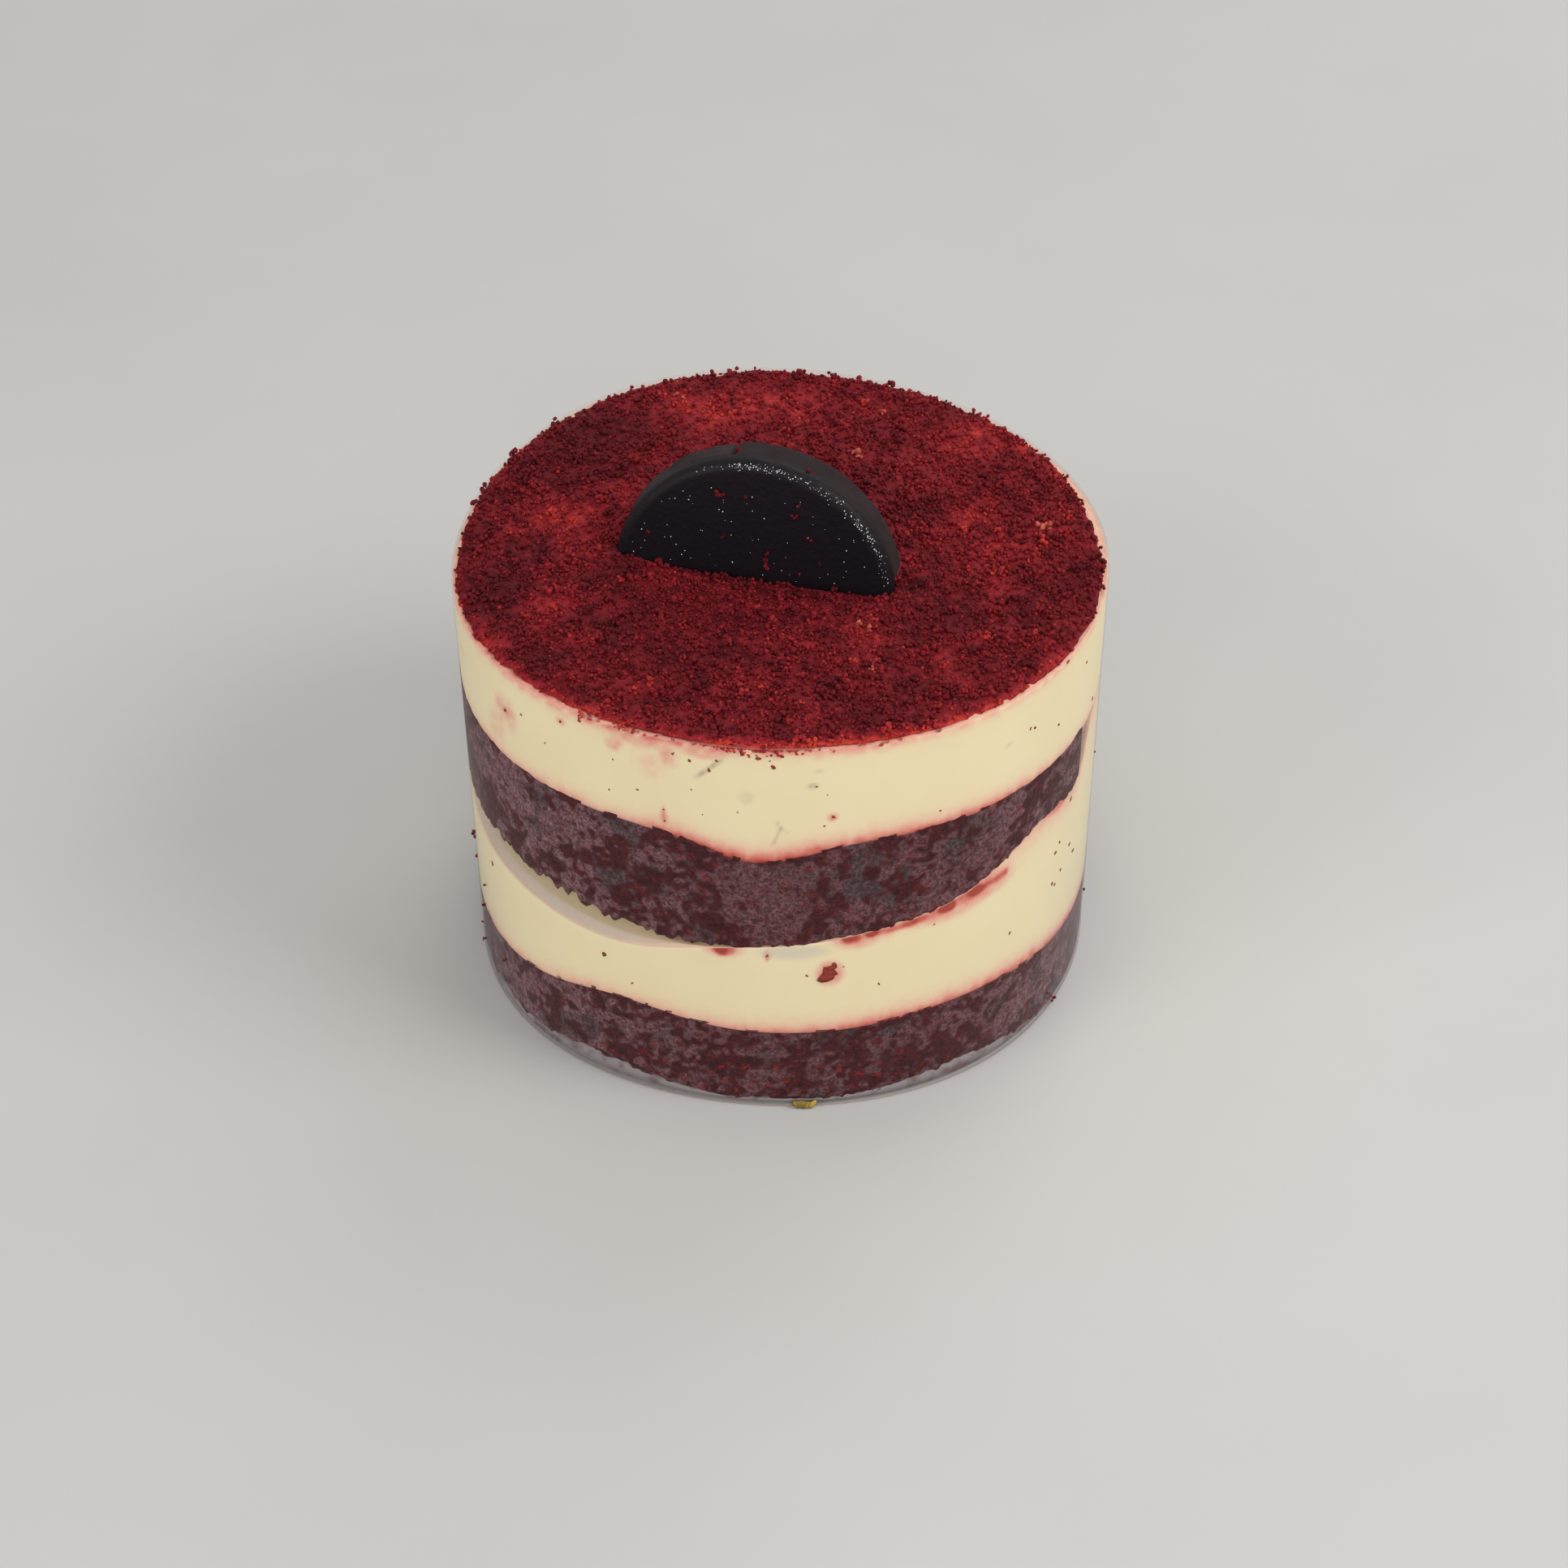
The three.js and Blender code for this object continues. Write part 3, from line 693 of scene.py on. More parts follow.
upper_base = upper_sponge_top(HEADINGS)
upper_red = 0.35 + 0.4 * bump(HEADINGS, -128, 24) + 2.1 * bump(HEADINGS, -97, 14, 4)
upper_red = upper_red + 1.15 * bump(HEADINGS, -62, 26, 3)
top_red = 0.5 + 1.2 * bump(HEADINGS, -102, 28, 4) + 0.3 * bump(HEADINGS, -60, 20)
z = UPPER_SPONGE_TOP + (upper_base - UPPER_SPONGE_TOP) * 0.36
rows = [(wall_radius(HEADINGS, 45) * 0.6, z, 1.5, 0, 0, 0)]
for share in np.linspace(0, 1, 46):
    z = upper_base - 0.3 + (CREAM_TOP - upper_base + 0.3) * share
    points = spot(HEADINGS, CUP_BASE_RADIUS, z)
    uneven = 0.55 + 0.9 * mixed_grain(points, (5.0, 1), (1.5, 0.6))
    low = bleeding(z - upper_crown, 0.8, upper_red * uneven)
    high = bleeding(CREAM_TOP + 0.2 - z, 0.5, top_red * (0.35 + 1.3 * grain(points, 0.8, 5)))
    blots = marks_at(z, stain, UPPER_STAINS)
    dull = marks_at(z, streak, UPPER_GREY_LINES) + marks_at(z, stain, UPPER_GREY_SPOTS)
    red = np.clip(low + high + blots * (0.2 + 2.0 * grain(points, 0.9, 6)), 0, 3.2)
    dull = np.clip(dull * (0.3 + 1.3 * grain(points, 0.7)), 0, 1)
    rows.append((wall_radius(HEADINGS, z) - FILL_DEPTH, z, red, dull, 0, 0))
for inset, rise in ((0.5, 0.15), (1.2, 0.2), (2.4, -0.1), (4.0, -0.7)):
    red = 0.45 + 0.4 * bump(HEADINGS, -140, 30)
    rows.append((rim_radius - inset, CREAM_TOP + rise, red, 0, 0, 0))
rows.append((rim_radius - 15.0, DISH_BOTTOM, 0.5, 0, 0, 0))
cream_layer("upper_cream_fill", "upper_cream", rows, (UPPER_SPONGE_TOP, DISH_BOTTOM))


# Film: a pale film in the foot of the cup, under the lower sponge, where it lies behind the clear plastic as
# a
# pale band: painted light, standing in for the light that comes in through the clear foot.
# The pale and pinkish tones of the painted light in the foot.
FILM_PALE = (0.250, 0.215, 0.222, 1)
FILM_PINK = (0.160, 0.095, 0.102, 1)

film_skin = new_material("foot_light_film")
tint = colour_ramp(film_skin, noise(film_skin, 420.0, 4.0), [(0.36, FILM_PINK), (0.52, FILM_PALE)])
finish(film_skin, {"Base Color": tint, "Roughness": 0.6})
base = wall_radius(HEADINGS, 1.0)
film_top = np.maximum(foot, 1.0)
film_rings = [
    (base - 4.0, floor_top - 0.02),
    (base - 0.7, floor_top - 0.02),
    (base - 0.3, floor_top + 0.15),
    (wall_radius(HEADINGS, film_top) - 0.25, film_top),
    (base - 1.0, film_top),
]
points, faces = spun(film_rings, floor_top + 0.05, floor_top + 0.3)
new_piece("foot_light_film", points, faces, {}, film_skin)


# Specks: flecks of cocoa and crumb dragged along the wall with the cream, each under a millimetre, and one
# crumb of sponge pressed flat against the wall with its red soaked out around it.
SPECKS = (
    (-105.2, 54.2, 0.6, 0.1), (-107.9, 54.9, 0.35, 0.2), (-100.6, 54.7, 0.5, 0.2),
    (-101.9, 53.2, 0.7, 0.45), (-93.6, 55.5, 0.75, 0.8), (-91.2, 54.3, 0.85, 0.8),
    (-93.9, 55.9, 0.35, 0.7), (-91.7, 55.2, 0.3, 0.7), (-84.0, 51.4, 0.4, 0.15), (-81.2, 46.8, 0.5, 0.75),
    (-82.7, 45.5, 0.35, 0.4), (-82.2, 50.1, 0.25, 0.3), (-103.2, 46.5, 0.25, 0.2),
    (-62.7, 44.9, 0.3, 0.1), (-44.3, 51.0, 0.5, 0.3), (-43.1, 50.7, 0.55, 0.25), (-34.3, 56.5, 0.7, 0.5),
    (-85.6, 22.2, 0.5, 0.5), (-72.9, 19.7, 0.45, 0.3), (-79.2, 23.3, 0.25, 0.2), (-46.4, 20.0, 0.6, 0.4),
    (-33.8, 27.0, 0.7, 0.45), (-32.4, 28.0, 0.6, 0.4), (-34.3, 22.2, 0.7, 0.4), (-33.2, 21.6, 0.6, 0.4),
    (-31.2, 22.9, 0.6, 0.5), (-27.8, 25.2, 0.7, 0.4), (-25.6, 23.0, 0.8, 0.45), (-92.5, 25.4, 0.5, 0.35),
    (-122.8, 20.6, 0.85, 0.15), (-117.4, 17.3, 0.45, 0.3), (-153.2, 22.1, 0.8, 0.5),
    (-129.0, 54.6, 0.5, 0.7), (-138.3, 52.3, 0.45, 0.35), (-118.9, 51.9, 0.35, 0.1),
    (-114.6, 48.4, 0.45, 0.7), (-119.9, 47.2, 0.35, 0.4), (-108.1, 54.8, 0.4, 0.15),
    (-132.8, 50.2, 0.4, 0.5), (-142.8, 51.1, 0.7, 0.7), (-110.0, 46.3, 0.35, 0.1),
    (-109.9, 44.6, 0.35, 0.3), (-105.0, 50.0, 0.3, 0.5), (-97.2, 47.4, 0.25, 0.3),
    (-63.0, 27.3, 0.4, 0.6), (-28.8, 33.0, 0.7, 0.2), (-36.0, 48.0, 0.5, 0.4), (-26.0, 52.5, 0.6, 0.45),
    (-20.0, 44.0, 0.7, 0.5),
)
SPECK_BROWN = (0.200, 0.060, 0.012, 1)
SPECK_RED = (0.270, 0.060, 0.020, 1)
SPECK_ORANGE = (0.290, 0.036, 0.030, 1)
PRESSED_TONE = 0.8
PRESSED_CRUMB = (
    (-82.0, 21.8, 2.2), (-81.6, 22.6, 2.2), (-81.3, 23.3, 1.5), (-80.8, 23.8, 0.9), (-82.1, 22.5, 1.9),
)

speck_skin = new_material("cocoa_specks")
speck_stops = [(0.1, SPECK_BROWN), (0.5, SPECK_RED), (0.9, SPECK_ORANGE)]
tint = colour_ramp(speck_skin, stored(speck_skin, "tone"), speck_stops)
finish(speck_skin, {"Base Color": tint, "Roughness": 0.7, "Specular IOR Level": 0.1})


def ball():
    """Corners and faces of a small round grain, 1 across."""
    mesh = bmesh.new()
    bmesh.ops.create_icosphere(mesh, subdivisions=1, radius=0.5)
    corners = np.array([v.co[:] for v in mesh.verts])
    faces = np.array([[v.index for v in f.verts] for f in mesh.faces])
    mesh.free()
    return corners, faces


def flat_on_wall(flakes, depth, thickness, seed):
    """Points, faces and tones of rough flakes lying flat at a depth in the wall."""
    rough = np.random.default_rng(seed)
    corners, sides = ball()
    points, faces, tones = [], [], []
    for i, (heading, z, size, shade) in enumerate(flakes):
        out = np.array([math.cos(math.radians(heading)), math.sin(math.radians(heading)), 0])
        along = np.array([-out[1], out[0], 0])
        slant = rough.uniform(0, math.pi)
        right = along * math.cos(slant) + np.array([0, 0, 1]) * math.sin(slant)
        up = np.array([0, 0, 1]) * math.cos(slant) - along * math.sin(slant)
        shape = corners * rough.uniform(0.65, 1.2, corners.shape)
        centre = out * (wall_radius(heading, z) - depth) + np.array([0, 0, z])
        long, short = size * rough.uniform(1.0, 1.3), size * rough.uniform(0.55, 0.9)
        placed = shape[:, :1] * right * long + shape[:, 1:2] * up * short + shape[:, 2:] * out * thickness
        points.append(placed + centre)
        faces.append(sides + len(corners) * i)
        tones.append(np.full(len(corners), shade))
    return np.concatenate(points), np.concatenate(faces), np.concatenate(tones)


flakes = tuple((heading, z, 0.95 * size, shade) for heading, z, size, shade in SPECKS)
flakes += tuple((heading, z, size, PRESSED_TONE) for heading, z, size in PRESSED_CRUMB)
points, faces, tones = flat_on_wall(flakes, depth=0.12, thickness=0.14, seed=21)
new_piece("cream_specks", points, faces, {"tone": tones}, speck_skin)


# Chocolate: half of a thick moulded disc, its face glossy and finely pimpled with a rounded edge, its rim
# matt. It is pressed into the crumbs, and leans back a little.
DISC_RADIUS = 17.4
DISC_THICKNESS = 6.05
DISC_FRONT_EDGE = 1.35
DISC_BACK_EDGE = 0.8
DISC_BELOW_CENTRE = 1.2
DISC_CENTRE = Vector((-1.9, 0.2, 53.9))
DISC_TURN = math.radians(-12.9)
DISC_LEAN = math.radians(4.9)
DISC_AROUND = 420
CHOCOLATE_DARK = (0.0085, 0.0064, 0.0088, 1)
CHOCOLATE_BLOOM = (0.050, 0.032, 0.033, 1)

disc_place = Matrix.Rotation(DISC_TURN, 4, "Z") @ Matrix.Rotation(-DISC_LEAN, 4, "X")
disc_right = disc_place @ Vector((1, 0, 0))
disc_up = disc_place @ Vector((0, 0, 1))
disc_out = disc_place @ Vector((0, -1, 0))

chocolate = new_material("dark_chocolate")
dull = stored(chocolate, "dull")
bloom = multiply(chocolate, noise(chocolate, 160.0, 4.0), dull)
pimples = relief(chocolate, noise(chocolate, 1200.0, 3.0, 0.6), 0.25, 0.0002)
place = add(chocolate, "TexCoord", {}, "Object")
drops = add(chocolate, "TexVoronoi", {"Vector": place, "Scale": 1300.0}, "Distance")
finish(chocolate, {
    "Base Color": mixed(chocolate, bloom, CHOCOLATE_DARK, CHOCOLATE_BLOOM),
    "Roughness": ranged(chocolate, dull, 0.45, 0.95),
    "Specular IOR Level": 0.16,
    "Normal": relief(chocolate, drops, 0.15, 0.0002, Normal=pimples),
})

face_radius = DISC_RADIUS - DISC_FRONT_EDGE
profile = [(share * face_radius, DISC_THICKNESS, 0.0) for share in np.linspace(0.03, 1, 44)]
for share in np.linspace(0.08, 1, 12):
    turn = math.pi / 2 * share
    out = DISC_RADIUS - DISC_FRONT_EDGE * (1 - math.sin(turn))
    front = DISC_THICKNESS - DISC_FRONT_EDGE * (1 - math.cos(turn))
    profile.append((out, front, 0.15 * share))
side_top = DISC_THICKNESS - DISC_FRONT_EDGE
for share in np.linspace(0.08, 1, 10):
    profile.append((DISC_RADIUS, side_top + (DISC_BACK_EDGE - side_top) * share, min(1.0, 0.2 + 2 * share)))
profile += [(DISC_RADIUS - 0.35, 0.25, 1.0), (DISC_RADIUS - DISC_BACK_EDGE, 0.0, 1.0)]
profile += [(share * DISC_RADIUS, 0.0, 1.0) for share in (0.9, 0.5)]
angles = np.linspace(0, 2 * np.pi, DISC_AROUND, endpoint=False)
points, dullness = [], []
for out, front, share in profile:
    ring = np.stack([out * np.cos(angles), np.full(DISC_AROUND, -front), out * np.sin(angles)], axis=1)
    points.append(ring)
    dullness.append(np.full(DISC_AROUND, share))
points.append(np.array([[0, -DISC_THICKNESS, 0], [0, 0, 0]], float))
dullness.append(np.array([0.0, 1.0]))
points = np.concatenate(points)
dullness = np.concatenate(dullness)
bumpy = mixed_grain(points, (2.6, 0.5), (1.1, 0.3), (0.45, 0.25))
outward = points * (1, 0, 1) / DISC_RADIUS
on_front = step(-points[:, 1], DISC_THICKNESS - 1.0, DISC_THICKNESS - 0.2)[:, None]
points += outward * (0.22 * (bumpy - 0.6))[:, None] * (1 - on_front)
points += np.array([0, -1, 0]) * (0.05 * (bumpy - 0.9))[:, None] * on_front
turned = np.degrees(np.arctan2(points[:, 2], points[:, 0]))
at_rim = step(np.hypot(points[:, 0], points[:, 2]), DISC_RADIUS - 1.8, DISC_RADIUS - 0.7)
behind = step(dullness, 0.5, 0.9) * at_rim
chipped = step(turned, 100.5, 102) * (1 - step(turned, 138, 150)) * behind
nick = step(turned, 98.5, 99.5) * (1 - step(turned, 101.0, 102.0)) * behind
inward = 0.35 * chipped * grain(points, 1.2) + 0.6 * nick
points -= outward * inward[:, None]
dullness = dullness + 0.5 * chipped
faces = spun_faces(len(profile), DISC_AROUND)
placed = np.array([tuple(disc_place @ Vector(p) + DISC_CENTRE) for p in points])
disc = new_piece(
    "dark_chocolate_disc", placed, faces, {"dull": dullness}, chocolate, "chocolate_disc"
)
cut = bmesh.new()
cut.from_mesh(disc.data)
cut_at = (DISC_CENTRE - disc_up * DISC_BELOW_CENTRE) * MM
everything = cut.verts[:] + cut.edges[:] + cut.faces[:]
cut_edges = bmesh.ops.bisect_plane(cut, geom=everything, plane_co=cut_at, plane_no=disc_up, clear_inner=True)
rim_edges = [e for e in cut_edges["geom_cut"] if isinstance(e, bmesh.types.BMEdge)]
bmesh.ops.contextual_create(cut, geom=rim_edges)
cut.to_mesh(disc.data)
cut.free()


# Crumb coat: red velvet crumbs sieved over the cream in a layer one or two crumbs deep, piled a little
# against the chocolate. A finely lumpy bed holds them, and loose crumbs of three sizes lie on it. Where
# the cream has wetted them they have sunk together and gone a brighter red.
CRUMB_HEIGHT = 57.3
BED_UNDERSIDE = CREAM_TOP - 0.75
CRUMB_DARK = (0.084, 0.0028, 0.0058, 1)
CRUMB_RED = (0.193, 0.0070, 0.0138, 1)
CRUMB_BRIGHT = (0.350, 0.0170, 0.0205, 1)
CRUMB_MOIST = (0.520, 0.0420, 0.0250, 1)
BRIGHT_PATCHES = (
    (-25.5, 7.5, 6.5, 2.6, 0.55), (-26.5, 3.5, 3.5, 3.0, 0.45), (-18.0, 5.0, 3.0, 3.0, 0.35),
    (-27.4, -13.3, 3.5, 4.0, 0.7), (-34.0, -19.0, 3.0, 3.5, 0.5), (-14.0, 33.5, 3.0, 4.0, 0.9),
    (-7.7, 30.0, 4.0, 4.0, 0.8), (-0.5, 31.0, 5.5, 5.0, 0.45), (3.5, 20.0, 3.0, 5.0, 0.5),
    (11.5, 29.5, 2.5, 2.0, 0.5), (25.0, 22.7, 4.0, 4.0, 0.7), (30.0, 21.0, 3.0, 3.0, 0.6),
    (26.6, 2.0, 5.0, 6.0, 0.9), (9.6, -17.8, 3.2, 3.0, 0.9), (10.0, -25.0, 2.0, 3.0, 0.5),
    (19.0, 16.0, 4.0, 4.0, 0.35), (-33.0, 2.0, 3.0, 3.0, 0.3), (-20.0, -28.0, 4.0, 2.5, 0.5),
    (4.0, 9.0, 3.0, 4.0, 0.4),
)
# Dark patches of crumbs. The last two are painted shade: behind the right of the chocolate, and in the
# hollow at its right end.
DARK_PATCHES = (
    (-23.0, 24.4, 7.0, 7.0, 0.9), (-33.4, -10.0, 4.0, 6.0, 0.7), (-29.0, 16.0, 5.0, 4.0, 0.4),
    (20.0, -14.5, 5.0, 5.0, 0.35), (-9.9, -22.0, 5.0, 6.0, 0.35), (31.0, -12.0, 4.0, 5.0, 0.45),
    (14.0, -30.0, 5.0, 4.0, 0.35), (16.5, 9.0, 3.5, 5.0, 0.4), (15.6, -8.0, 1.6, 1.6, 1.2),
)
PRESSED_DOWN = 1.75
CRUMB_KINDS = 9
GRAIN_SPREAD = 0.24
# Loose crumbs as (name, how many are sieved, smallest, largest, how few lie on damp places, grains in each)
SIEVED = (
    ("fine_crumbs", 9900, 0.38, 0.62, 0.2, 1),
    ("middling_crumbs", 3350, 0.65, 0.95, 0.35, 3),
    ("coarse_crumbs", 1050, 0.9, 1.3, 0.55, 5),
)


def edge_inset(heading):
    """How far the crumbs stop short of the cup's wall."""
    points = spot(heading, CUP_RIM_RADIUS, np.full_like(heading, 57.0))
    ragged = mixed_grain(points, (2.2, 0.4), (0.8, 0.4), (0.45, 0.3)) - 0.45
    ragged = (0.9 - 0.6 * bump(heading, -50, 32, 4)) * ragged
    bared = 0.8 * bump(heading, 9, 17) + 0.06 * bump(heading, -38, 22) + 0.42 * bump(heading, -136, 20)
    return np.maximum(0.12 + bared + ragged, 0.0) - 0.4 * bump(heading, -94, 14, 4)


def patch_tone(x, y):
    """How bright or dark the crumbs are at a place, from -1 to 1."""
    ragged = mixed_grain(np.stack([x, y, np.zeros_like(x)], axis=-1), (3.2, 0.5), (1.3, 0.4), (0.6, 0.35))
    # The crumbs are painted lighter towards the back and towards the right: painted light, where more light
    # falls on the coat.
    total = (ragged - 0.5) * (2.1 - 0.7 * step(y, 5, 32)) + 0.04 + (0.14 * y + 0.10 * x) / CUP_RIM_RADIUS
    for patches, sign, smooth, rough in ((BRIGHT_PATCHES, 1, 0.1, 1.5), (DARK_PATCHES, -1, 0.3, 1.1)):
        for px, py, wide, deep, strength in patches:
            near = np.exp(-((((x - px) / wide) ** 2 + ((y - py) / deep) ** 2) ** 1.5))
            total = total + sign * strength * near * (smooth + rough * ragged)
    heading = np.degrees(np.arctan2(y, x))
    to_edge = wall_radius(heading, CUP_HEIGHT) - CUP_WALL - edge_inset(heading) - np.hypot(x, y)
    damp = 0.85 * bump(heading, -98, 66, 6) + 0.95 * bump(heading, -68, 34, 4)
    damp = damp + 0.5 * bump(heading, -132, 18, 4)
    total = total + damp * np.exp(-((np.maximum(to_edge, 0) / 1.05) ** 2))
    return np.clip(total, -1.2, 1.5)


def beside_disc(x, y):
    """How far a place is out from the disc's face at the crumbs' height, and how far along it."""
    out = (x - DISC_CENTRE.x) * disc_out.x + (y - DISC_CENTRE.y) * disc_out.y
    out = out + (CRUMB_HEIGHT - DISC_CENTRE.z) * disc_out.z - DISC_THICKNESS
    return out, (x - DISC_CENTRE.x) * disc_right.x + (y - DISC_CENTRE.y) * disc_right.y


def bed_height(x, y):
    points = np.stack([x, y, np.zeros_like(x)], axis=-1)
    lumps = 0.40 * grain(points, 2.6, 5) + 0.42 * grain(points, 1.3, 6) + 0.34 * grain(points, 0.6, 7)
    lumps = lumps * (1 - 0.3 * step(y, 0, 30))
    damp = step(patch_tone(x, y), 0.3, 0.9)
    heading = np.degrees(np.arctan2(y, x))
    to_rim = wall_radius(heading, CUP_HEIGHT) - np.hypot(x, y)
    out, along = beside_disc(x, y)
    pressed = np.exp(-((np.maximum(out, 0) / 2.7) ** 2)) * step(out, -3.0, 0.0)
    pressed = pressed * step(along, -18, -4) * (0.75 + 0.25 * step(along, -2, 8))
    pressed = pressed * (1 - step(along, 15.5, 19))
    corner = np.exp(-(((x - 15.8) / 1.5) ** 2 + ((y + 8.2) / 1.3) ** 2))
    border = 0.35 - 0.45 * bump(heading, -96, 26, 4)
    low = PRESSED_DOWN * pressed + 0.8 * corner + border * (1 - step(to_rim, 0.5, 2.0))
    return CRUMB_HEIGHT - 0.62 + lumps * (1 - 0.35 * damp) - low


red_crumb = new_material("red_velvet_crumb")
tone = stored(red_crumb, "tone")
fine = noise(red_crumb, 1800.0, 3.0, 0.7)
crumb_stops = [(0.28, CRUMB_DARK), (0.58, CRUMB_RED), (0.86, CRUMB_BRIGHT), (1.0, CRUMB_MOIST)]
finish(red_crumb, {
    "Base Color": colour_ramp(red_crumb, multiply_add(red_crumb, fine, 1.0, tone), crumb_stops),
    "Roughness": ranged(red_crumb, tone, 0.75, 0.55),
    "Specular IOR Level": 0.2,
    "Normal": relief(red_crumb, fine, 0.8, 0.0003),
})

reach = rim_radius - CUP_WALL - edge_inset(HEADINGS)
rings = [(reach - 3.0, BED_UNDERSIDE), (reach - 0.3, CREAM_TOP)]
tones = [np.full(AROUND, -0.05), np.full(AROUND, 0.0)]
for share in np.linspace(1, 0.02, 108):
    radius = reach * share
    x, y, _ = np.moveaxis(spot(HEADINGS, radius, np.zeros(AROUND)), -1, 0)
    rings.append((radius, bed_height(x, y)))
    tones.append(0.32 * patch_tone(x, y))
points, faces = spun(rings, BED_UNDERSIDE, CRUMB_HEIGHT)
tones.append(np.full(2, 0.0))
marks = {"tone": np.concatenate(tones)}
new_piece("crumb_bed", points, faces, marks, red_crumb, "crumb_topping")


def lump(count, spread, seed):
    """One crumb's points and faces: `count` rough grains stuck together, about 1 across."""
    rough = np.random.default_rng(seed)
    corners, sides = ball()
    points, faces = [], []
    for i in range(count):
        size = 1.0 if count == 1 else rough.uniform(0.45, 0.75)
        centre = rough.normal(0, spread, 3) if count > 1 else np.zeros(3)
        points.append(corners * size * rough.uniform(0.6, 1.35, corners.shape) + centre)
        faces.append(sides + len(corners) * i)
    return np.concatenate(points), np.concatenate(faces)


def any_turn(rough, count):
    """Random turns as matrices, spread evenly."""
    turns = rough.normal(size=(count, 4))
    return np.array([Quaternion(turn).normalized().to_matrix() for turn in turns])


def crumbs(name, centres, sizes, tones, grains, seed, material=red_crumb, mark="tone"):
    """Loose crumbs joined as one piece, each turned at random and made of a few rough grains."""
    rough = np.random.default_rng(seed)
    kinds = [lump(grains, GRAIN_SPREAD, seed * 10 + i) for i in range(CRUMB_KINDS)]
    which = rough.integers(0, len(kinds), len(centres))
    shapes = np.stack([kinds[k][0] for k in which])
    turned = np.einsum("nij,nvj->nvi", any_turn(rough, len(centres)), shapes)
    points = turned * sizes[:, None, None] + centres[:, None, :]
    each = shapes.shape[1]
    faces = kinds[0][1][None] + (np.arange(len(centres)) * each)[:, None, None]
    marks = {mark: np.repeat(tones, each)}
    return new_piece(name, points.reshape(-1, 3), faces.reshape(-1, 3), marks, material)


def in_chocolate(x, y, z, room):
    """True where a place lies in the chocolate disc or within `room` of it."""
    rel = np.stack([x - DISC_CENTRE.x, y - DISC_CENTRE.y, z - DISC_CENTRE.z], axis=-1)
    out = rel @ np.array(disc_out)
    flat = np.hypot(rel @ np.array(disc_right), rel @ np.array(disc_up))
    return (out > -room) & (out < DISC_THICKNESS + room) & (flat < DISC_RADIUS + room)


def sieve(count, low, high, seed, thinning):
    """Places, sizes and tones of loose crumbs on the bed, fewer where it is damp."""
    rough = np.random.default_rng(seed)
    heading = rough.uniform(-180, 180, count)
    reach = wall_radius(heading, CUP_HEIGHT) - CUP_WALL - edge_inset(heading)
    reach = reach + rough.uniform(-0.3, 0.25, count)
    radius = reach * np.sqrt(rough.uniform(0, 1, count))
    x, y, _ = np.moveaxis(spot(heading, radius, np.zeros(count)), -1, 0)
    size = low + (high - low) * rough.uniform(0, 1, count) ** 2
    tone = patch_tone(x, y)
    z = bed_height(x, y) + 0.22 * size
    stay = rough.uniform(0, 1, count) > thinning * step(np.abs(tone + 0.1), 0.35, 0.95)
    stay &= ~in_chocolate(x, y, z, 0.1)
    stay &= (size < 0.65) | (rough.uniform(0, 1, count) > 0.45 * step(y, 5, 30))
    shade = 0.28 * tone + rough.normal(0, 0.13, count)
    return np.stack([x, y, z], axis=-1)[stay], size[stay], shade[stay]


for i, (name, count, low, high, thinning, grains) in enumerate(SIEVED, start=1):
    centres, sizes, tones = sieve(count, low, high, 10 + i, thinning)
    crumbs(name, centres, sizes, tones, grains, i)


# Strays: crumbs of the coat that have caught on the rim, fallen down the outside of the wall and stuck to
# the chocolate, and bare spots where the cream shows pink through the coat.
IN_FROM_RIM = 0.985
ON_RIM = (
    (-28.6, 26.4, 1.5), (-33.9, 20.7, 1.4), (-37.5, 12.7, 1.0), (-38.2, 9.2, 1.1), (39.4, -5.4, 1.2),
    (38.9, -9.5, 0.9), (-14.6, 37.0, 1.3), (-9.4, 38.2, 1.1), (2.8, 38.2, 1.1), (14.9, 36.3, 1.2),
    (-38.6, 3.5, 1.0), (-38.4, -4.0, 0.9), (20.5, 33.0, 1.0), (7.5, 38.0, 0.9), (-3.0, 38.8, 1.0),
    (36.5, 12.5, 0.8), (38.6, 3.0, 0.8), (37.0, -14.5, 0.8), (-20.5, 33.5, 1.0), (-17.8, 35.4, 0.9),
)
DOWN_WALL = (
    (-172.7, 16.0, 0.85), (-170.5, 13.5, 0.45), (-159.0, 15.3, 0.35), (-162.7, 9.8, 0.5),
    (-172.7, 0.7, 0.5), (-168.0, 0.6, 0.45), (-151.0, 7.0, 0.35), (-30.8, 1.0, 0.6), (-7.5, 5.9, 0.5),
    (-8.0, 29.2, 0.35),
)
ON_DISC = (
    (-4.0, 12.8, 1.2), (5.1, 11.1, 0.7), (6.9, 8.2, 0.9), (1.8, 3.7, 0.9), (1.9, 5.6, 0.7),
    (-3.6, 7.1, 0.5), (-12.8, 6.6, 0.8), (-1.0, 12.9, 0.5), (5.5, 12.5, 0.6), (5.8, 3.2, 0.5),
    (1.7, 4.6, 0.7), (8.2, 5.0, 0.4),
)
SPOT_BLEED = 2.6
BARE_SPOTS = (
    (32.3, 3.2, 1.5), (33.2, 2.6, 1.1), (9.3, -16.5, 0.9), (10.4, -17.6, 1.0), (10.7, -25.2, 0.8),
    (13.6, 29.2, 1.2), (-11.9, 32.9, 0.9), (9.6, 20.0, 1.2), (10.3, 19.0, 0.8), (-13.2, 34.0, 0.7),
)


def on_disc(right, up, out):
    """A place on the chocolate, from its centre: right and up on its face, and out from its back."""
    return tuple(DISC_CENTRE + disc_right * right + disc_up * up + disc_out * out)


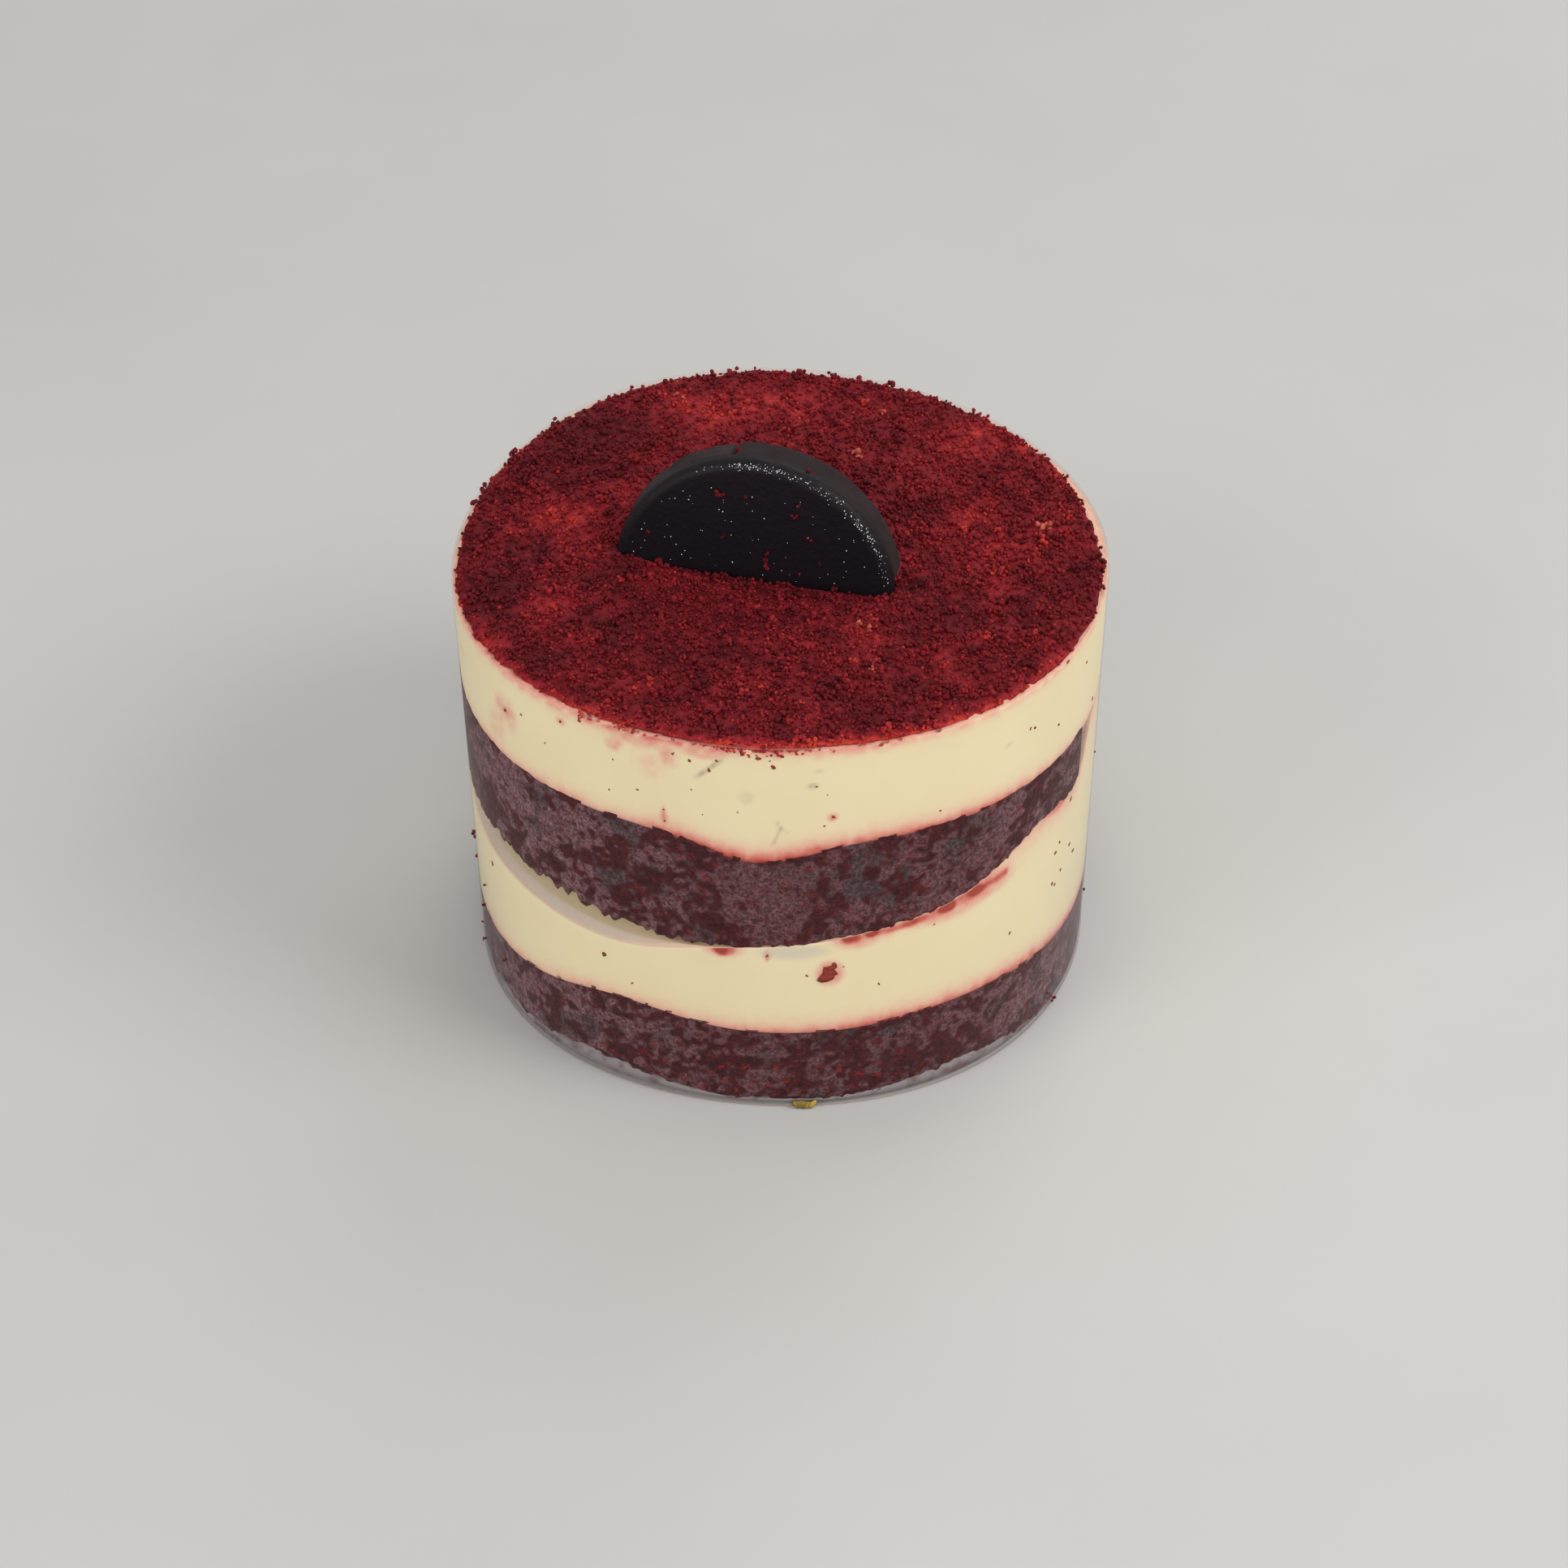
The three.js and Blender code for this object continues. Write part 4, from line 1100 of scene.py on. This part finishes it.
strays = [((IN_FROM_RIM * x, IN_FROM_RIM * y, CRUMB_HEIGHT), size) for x, y, size in ON_RIM]
for heading, z, size in DOWN_WALL:
    strays.append((tuple(spot(heading, wall_radius(heading, z) + 0.1 * size, z)), size))
strays += [(on_disc(right, up, DISC_THICKNESS + 0.05), size) for right, up, size in ON_DISC]
strays += [(on_disc(6.6, 16.0, 4.0), 1.0), (on_disc(-2.5, 17.0, 3.2), 1.2), (on_disc(14.6, 8.9, 3.0), 0.6)]
centres = np.array([centre for centre, _ in strays])
sizes = np.array([size for _, size in strays])
tones = np.where(centres[:, 2] > CRUMB_HEIGHT + 1.0, -0.15, -0.03)
crumbs("stray_crumbs", centres, sizes, tones, grains=4, seed=4)
rough = np.random.default_rng(33)
heading = np.concatenate([rough.normal(-95, 5, 70), rough.uniform(-126, -66, 45), [-117.0, -117.6, -124.5]])
size = rough.uniform(0.35, 0.85, len(heading))
z = 56.9 - rough.exponential(0.22, len(heading)) - 0.3 * bump(heading, -94, 5)
centres = spot(heading, wall_radius(heading, z) - 0.15 - 0.35 * size, z)
crumbs("wet_edge_crumbs", centres, size, rough.uniform(0.3, 0.65, len(heading)), grains=3, seed=7)
x, y, sizes = np.array(BARE_SPOTS).T
centres = np.stack([x, y, bed_height(x, y) + 0.15], axis=-1)
crumbs("bare_cream_spots", centres, sizes, np.full(len(x), SPOT_BLEED), 5, 5, cream, "bleed")


# Glints: painted highlights, small pale beads on the chocolate, each a fifth of a millimetre or less, that
# stand in for glints of light on its glossy pimpled face, thick along its rounded edge and thinly scattered
# over the face.
EDGE_GLINTS = 210
FACE_GLINTS = 75
GLINT_COLOUR = (0.95, 0.95, 0.97, 1)

glint_skin = new_material("painted_glints")
finish(glint_skin, {"Base Color": GLINT_COLOUR, "Roughness": 0.2})
rough = np.random.default_rng(31)
turn = np.radians(np.concatenate([
    rough.normal(88, 13, EDGE_GLINTS // 2), rough.normal(38, 14, EDGE_GLINTS - EDGE_GLINTS // 2)
]))
roll = np.clip(rough.normal(0.36, 0.13, EDGE_GLINTS), 0.02, 0.95) * math.pi / 2
reach = face_radius + DISC_FRONT_EDGE * np.sin(roll)
right, up = reach * np.cos(turn), reach * np.sin(turn)
out = DISC_THICKNESS - DISC_FRONT_EDGE * (1 - np.cos(roll))
face_turn = np.radians(rough.uniform(2, 178, FACE_GLINTS))
face_reach = face_radius * np.sqrt(rough.uniform(0.02, 1, FACE_GLINTS))
right = np.concatenate([right, face_reach * np.cos(face_turn)])
up = np.concatenate([up, face_reach * np.sin(face_turn)])
out = np.concatenate([out, np.full(FACE_GLINTS, DISC_THICKNESS)])
centres = np.array([on_disc(*place) for place in zip(right, up, out)])
sizes = 0.07 + 0.10 * rough.uniform(0, 1, len(centres)) ** 2
crumbs("disc_glints", centres, sizes, np.zeros(len(centres)), 1, 6, glint_skin)


# Peel: a fleck of olive-yellow peel, a few thin torn flakes lying together on the table against the foot
# of the cup.
PEEL_FLAKES = (
    (-86.7, 0.75, 2.2, 0.15), (-84.6, 0.7, 1.7, 0.7), (-87.6, 0.8, 1.2, 0.4), (-85.6, 0.5, 1.6, 0.35),
)
PEEL_OLIVE = (0.20, 0.13, 0.012, 1)
PEEL_YELLOW = (0.46, 0.33, 0.040, 1)
ABOVE_TABLE = 0.03

peel = new_material("olive_peel")
tint = colour_ramp(peel, stored(peel, "tone"), [(0.2, PEEL_OLIVE), (0.8, PEEL_YELLOW)])
finish(peel, {"Base Color": tint})
points, faces, tones = flat_on_wall(PEEL_FLAKES, depth=-0.2, thickness=0.5, seed=41)
points[:, 2] = np.maximum(points[:, 2], ABOVE_TABLE)
new_piece("peel_fleck", points, faces, {"tone": tones}, peel)
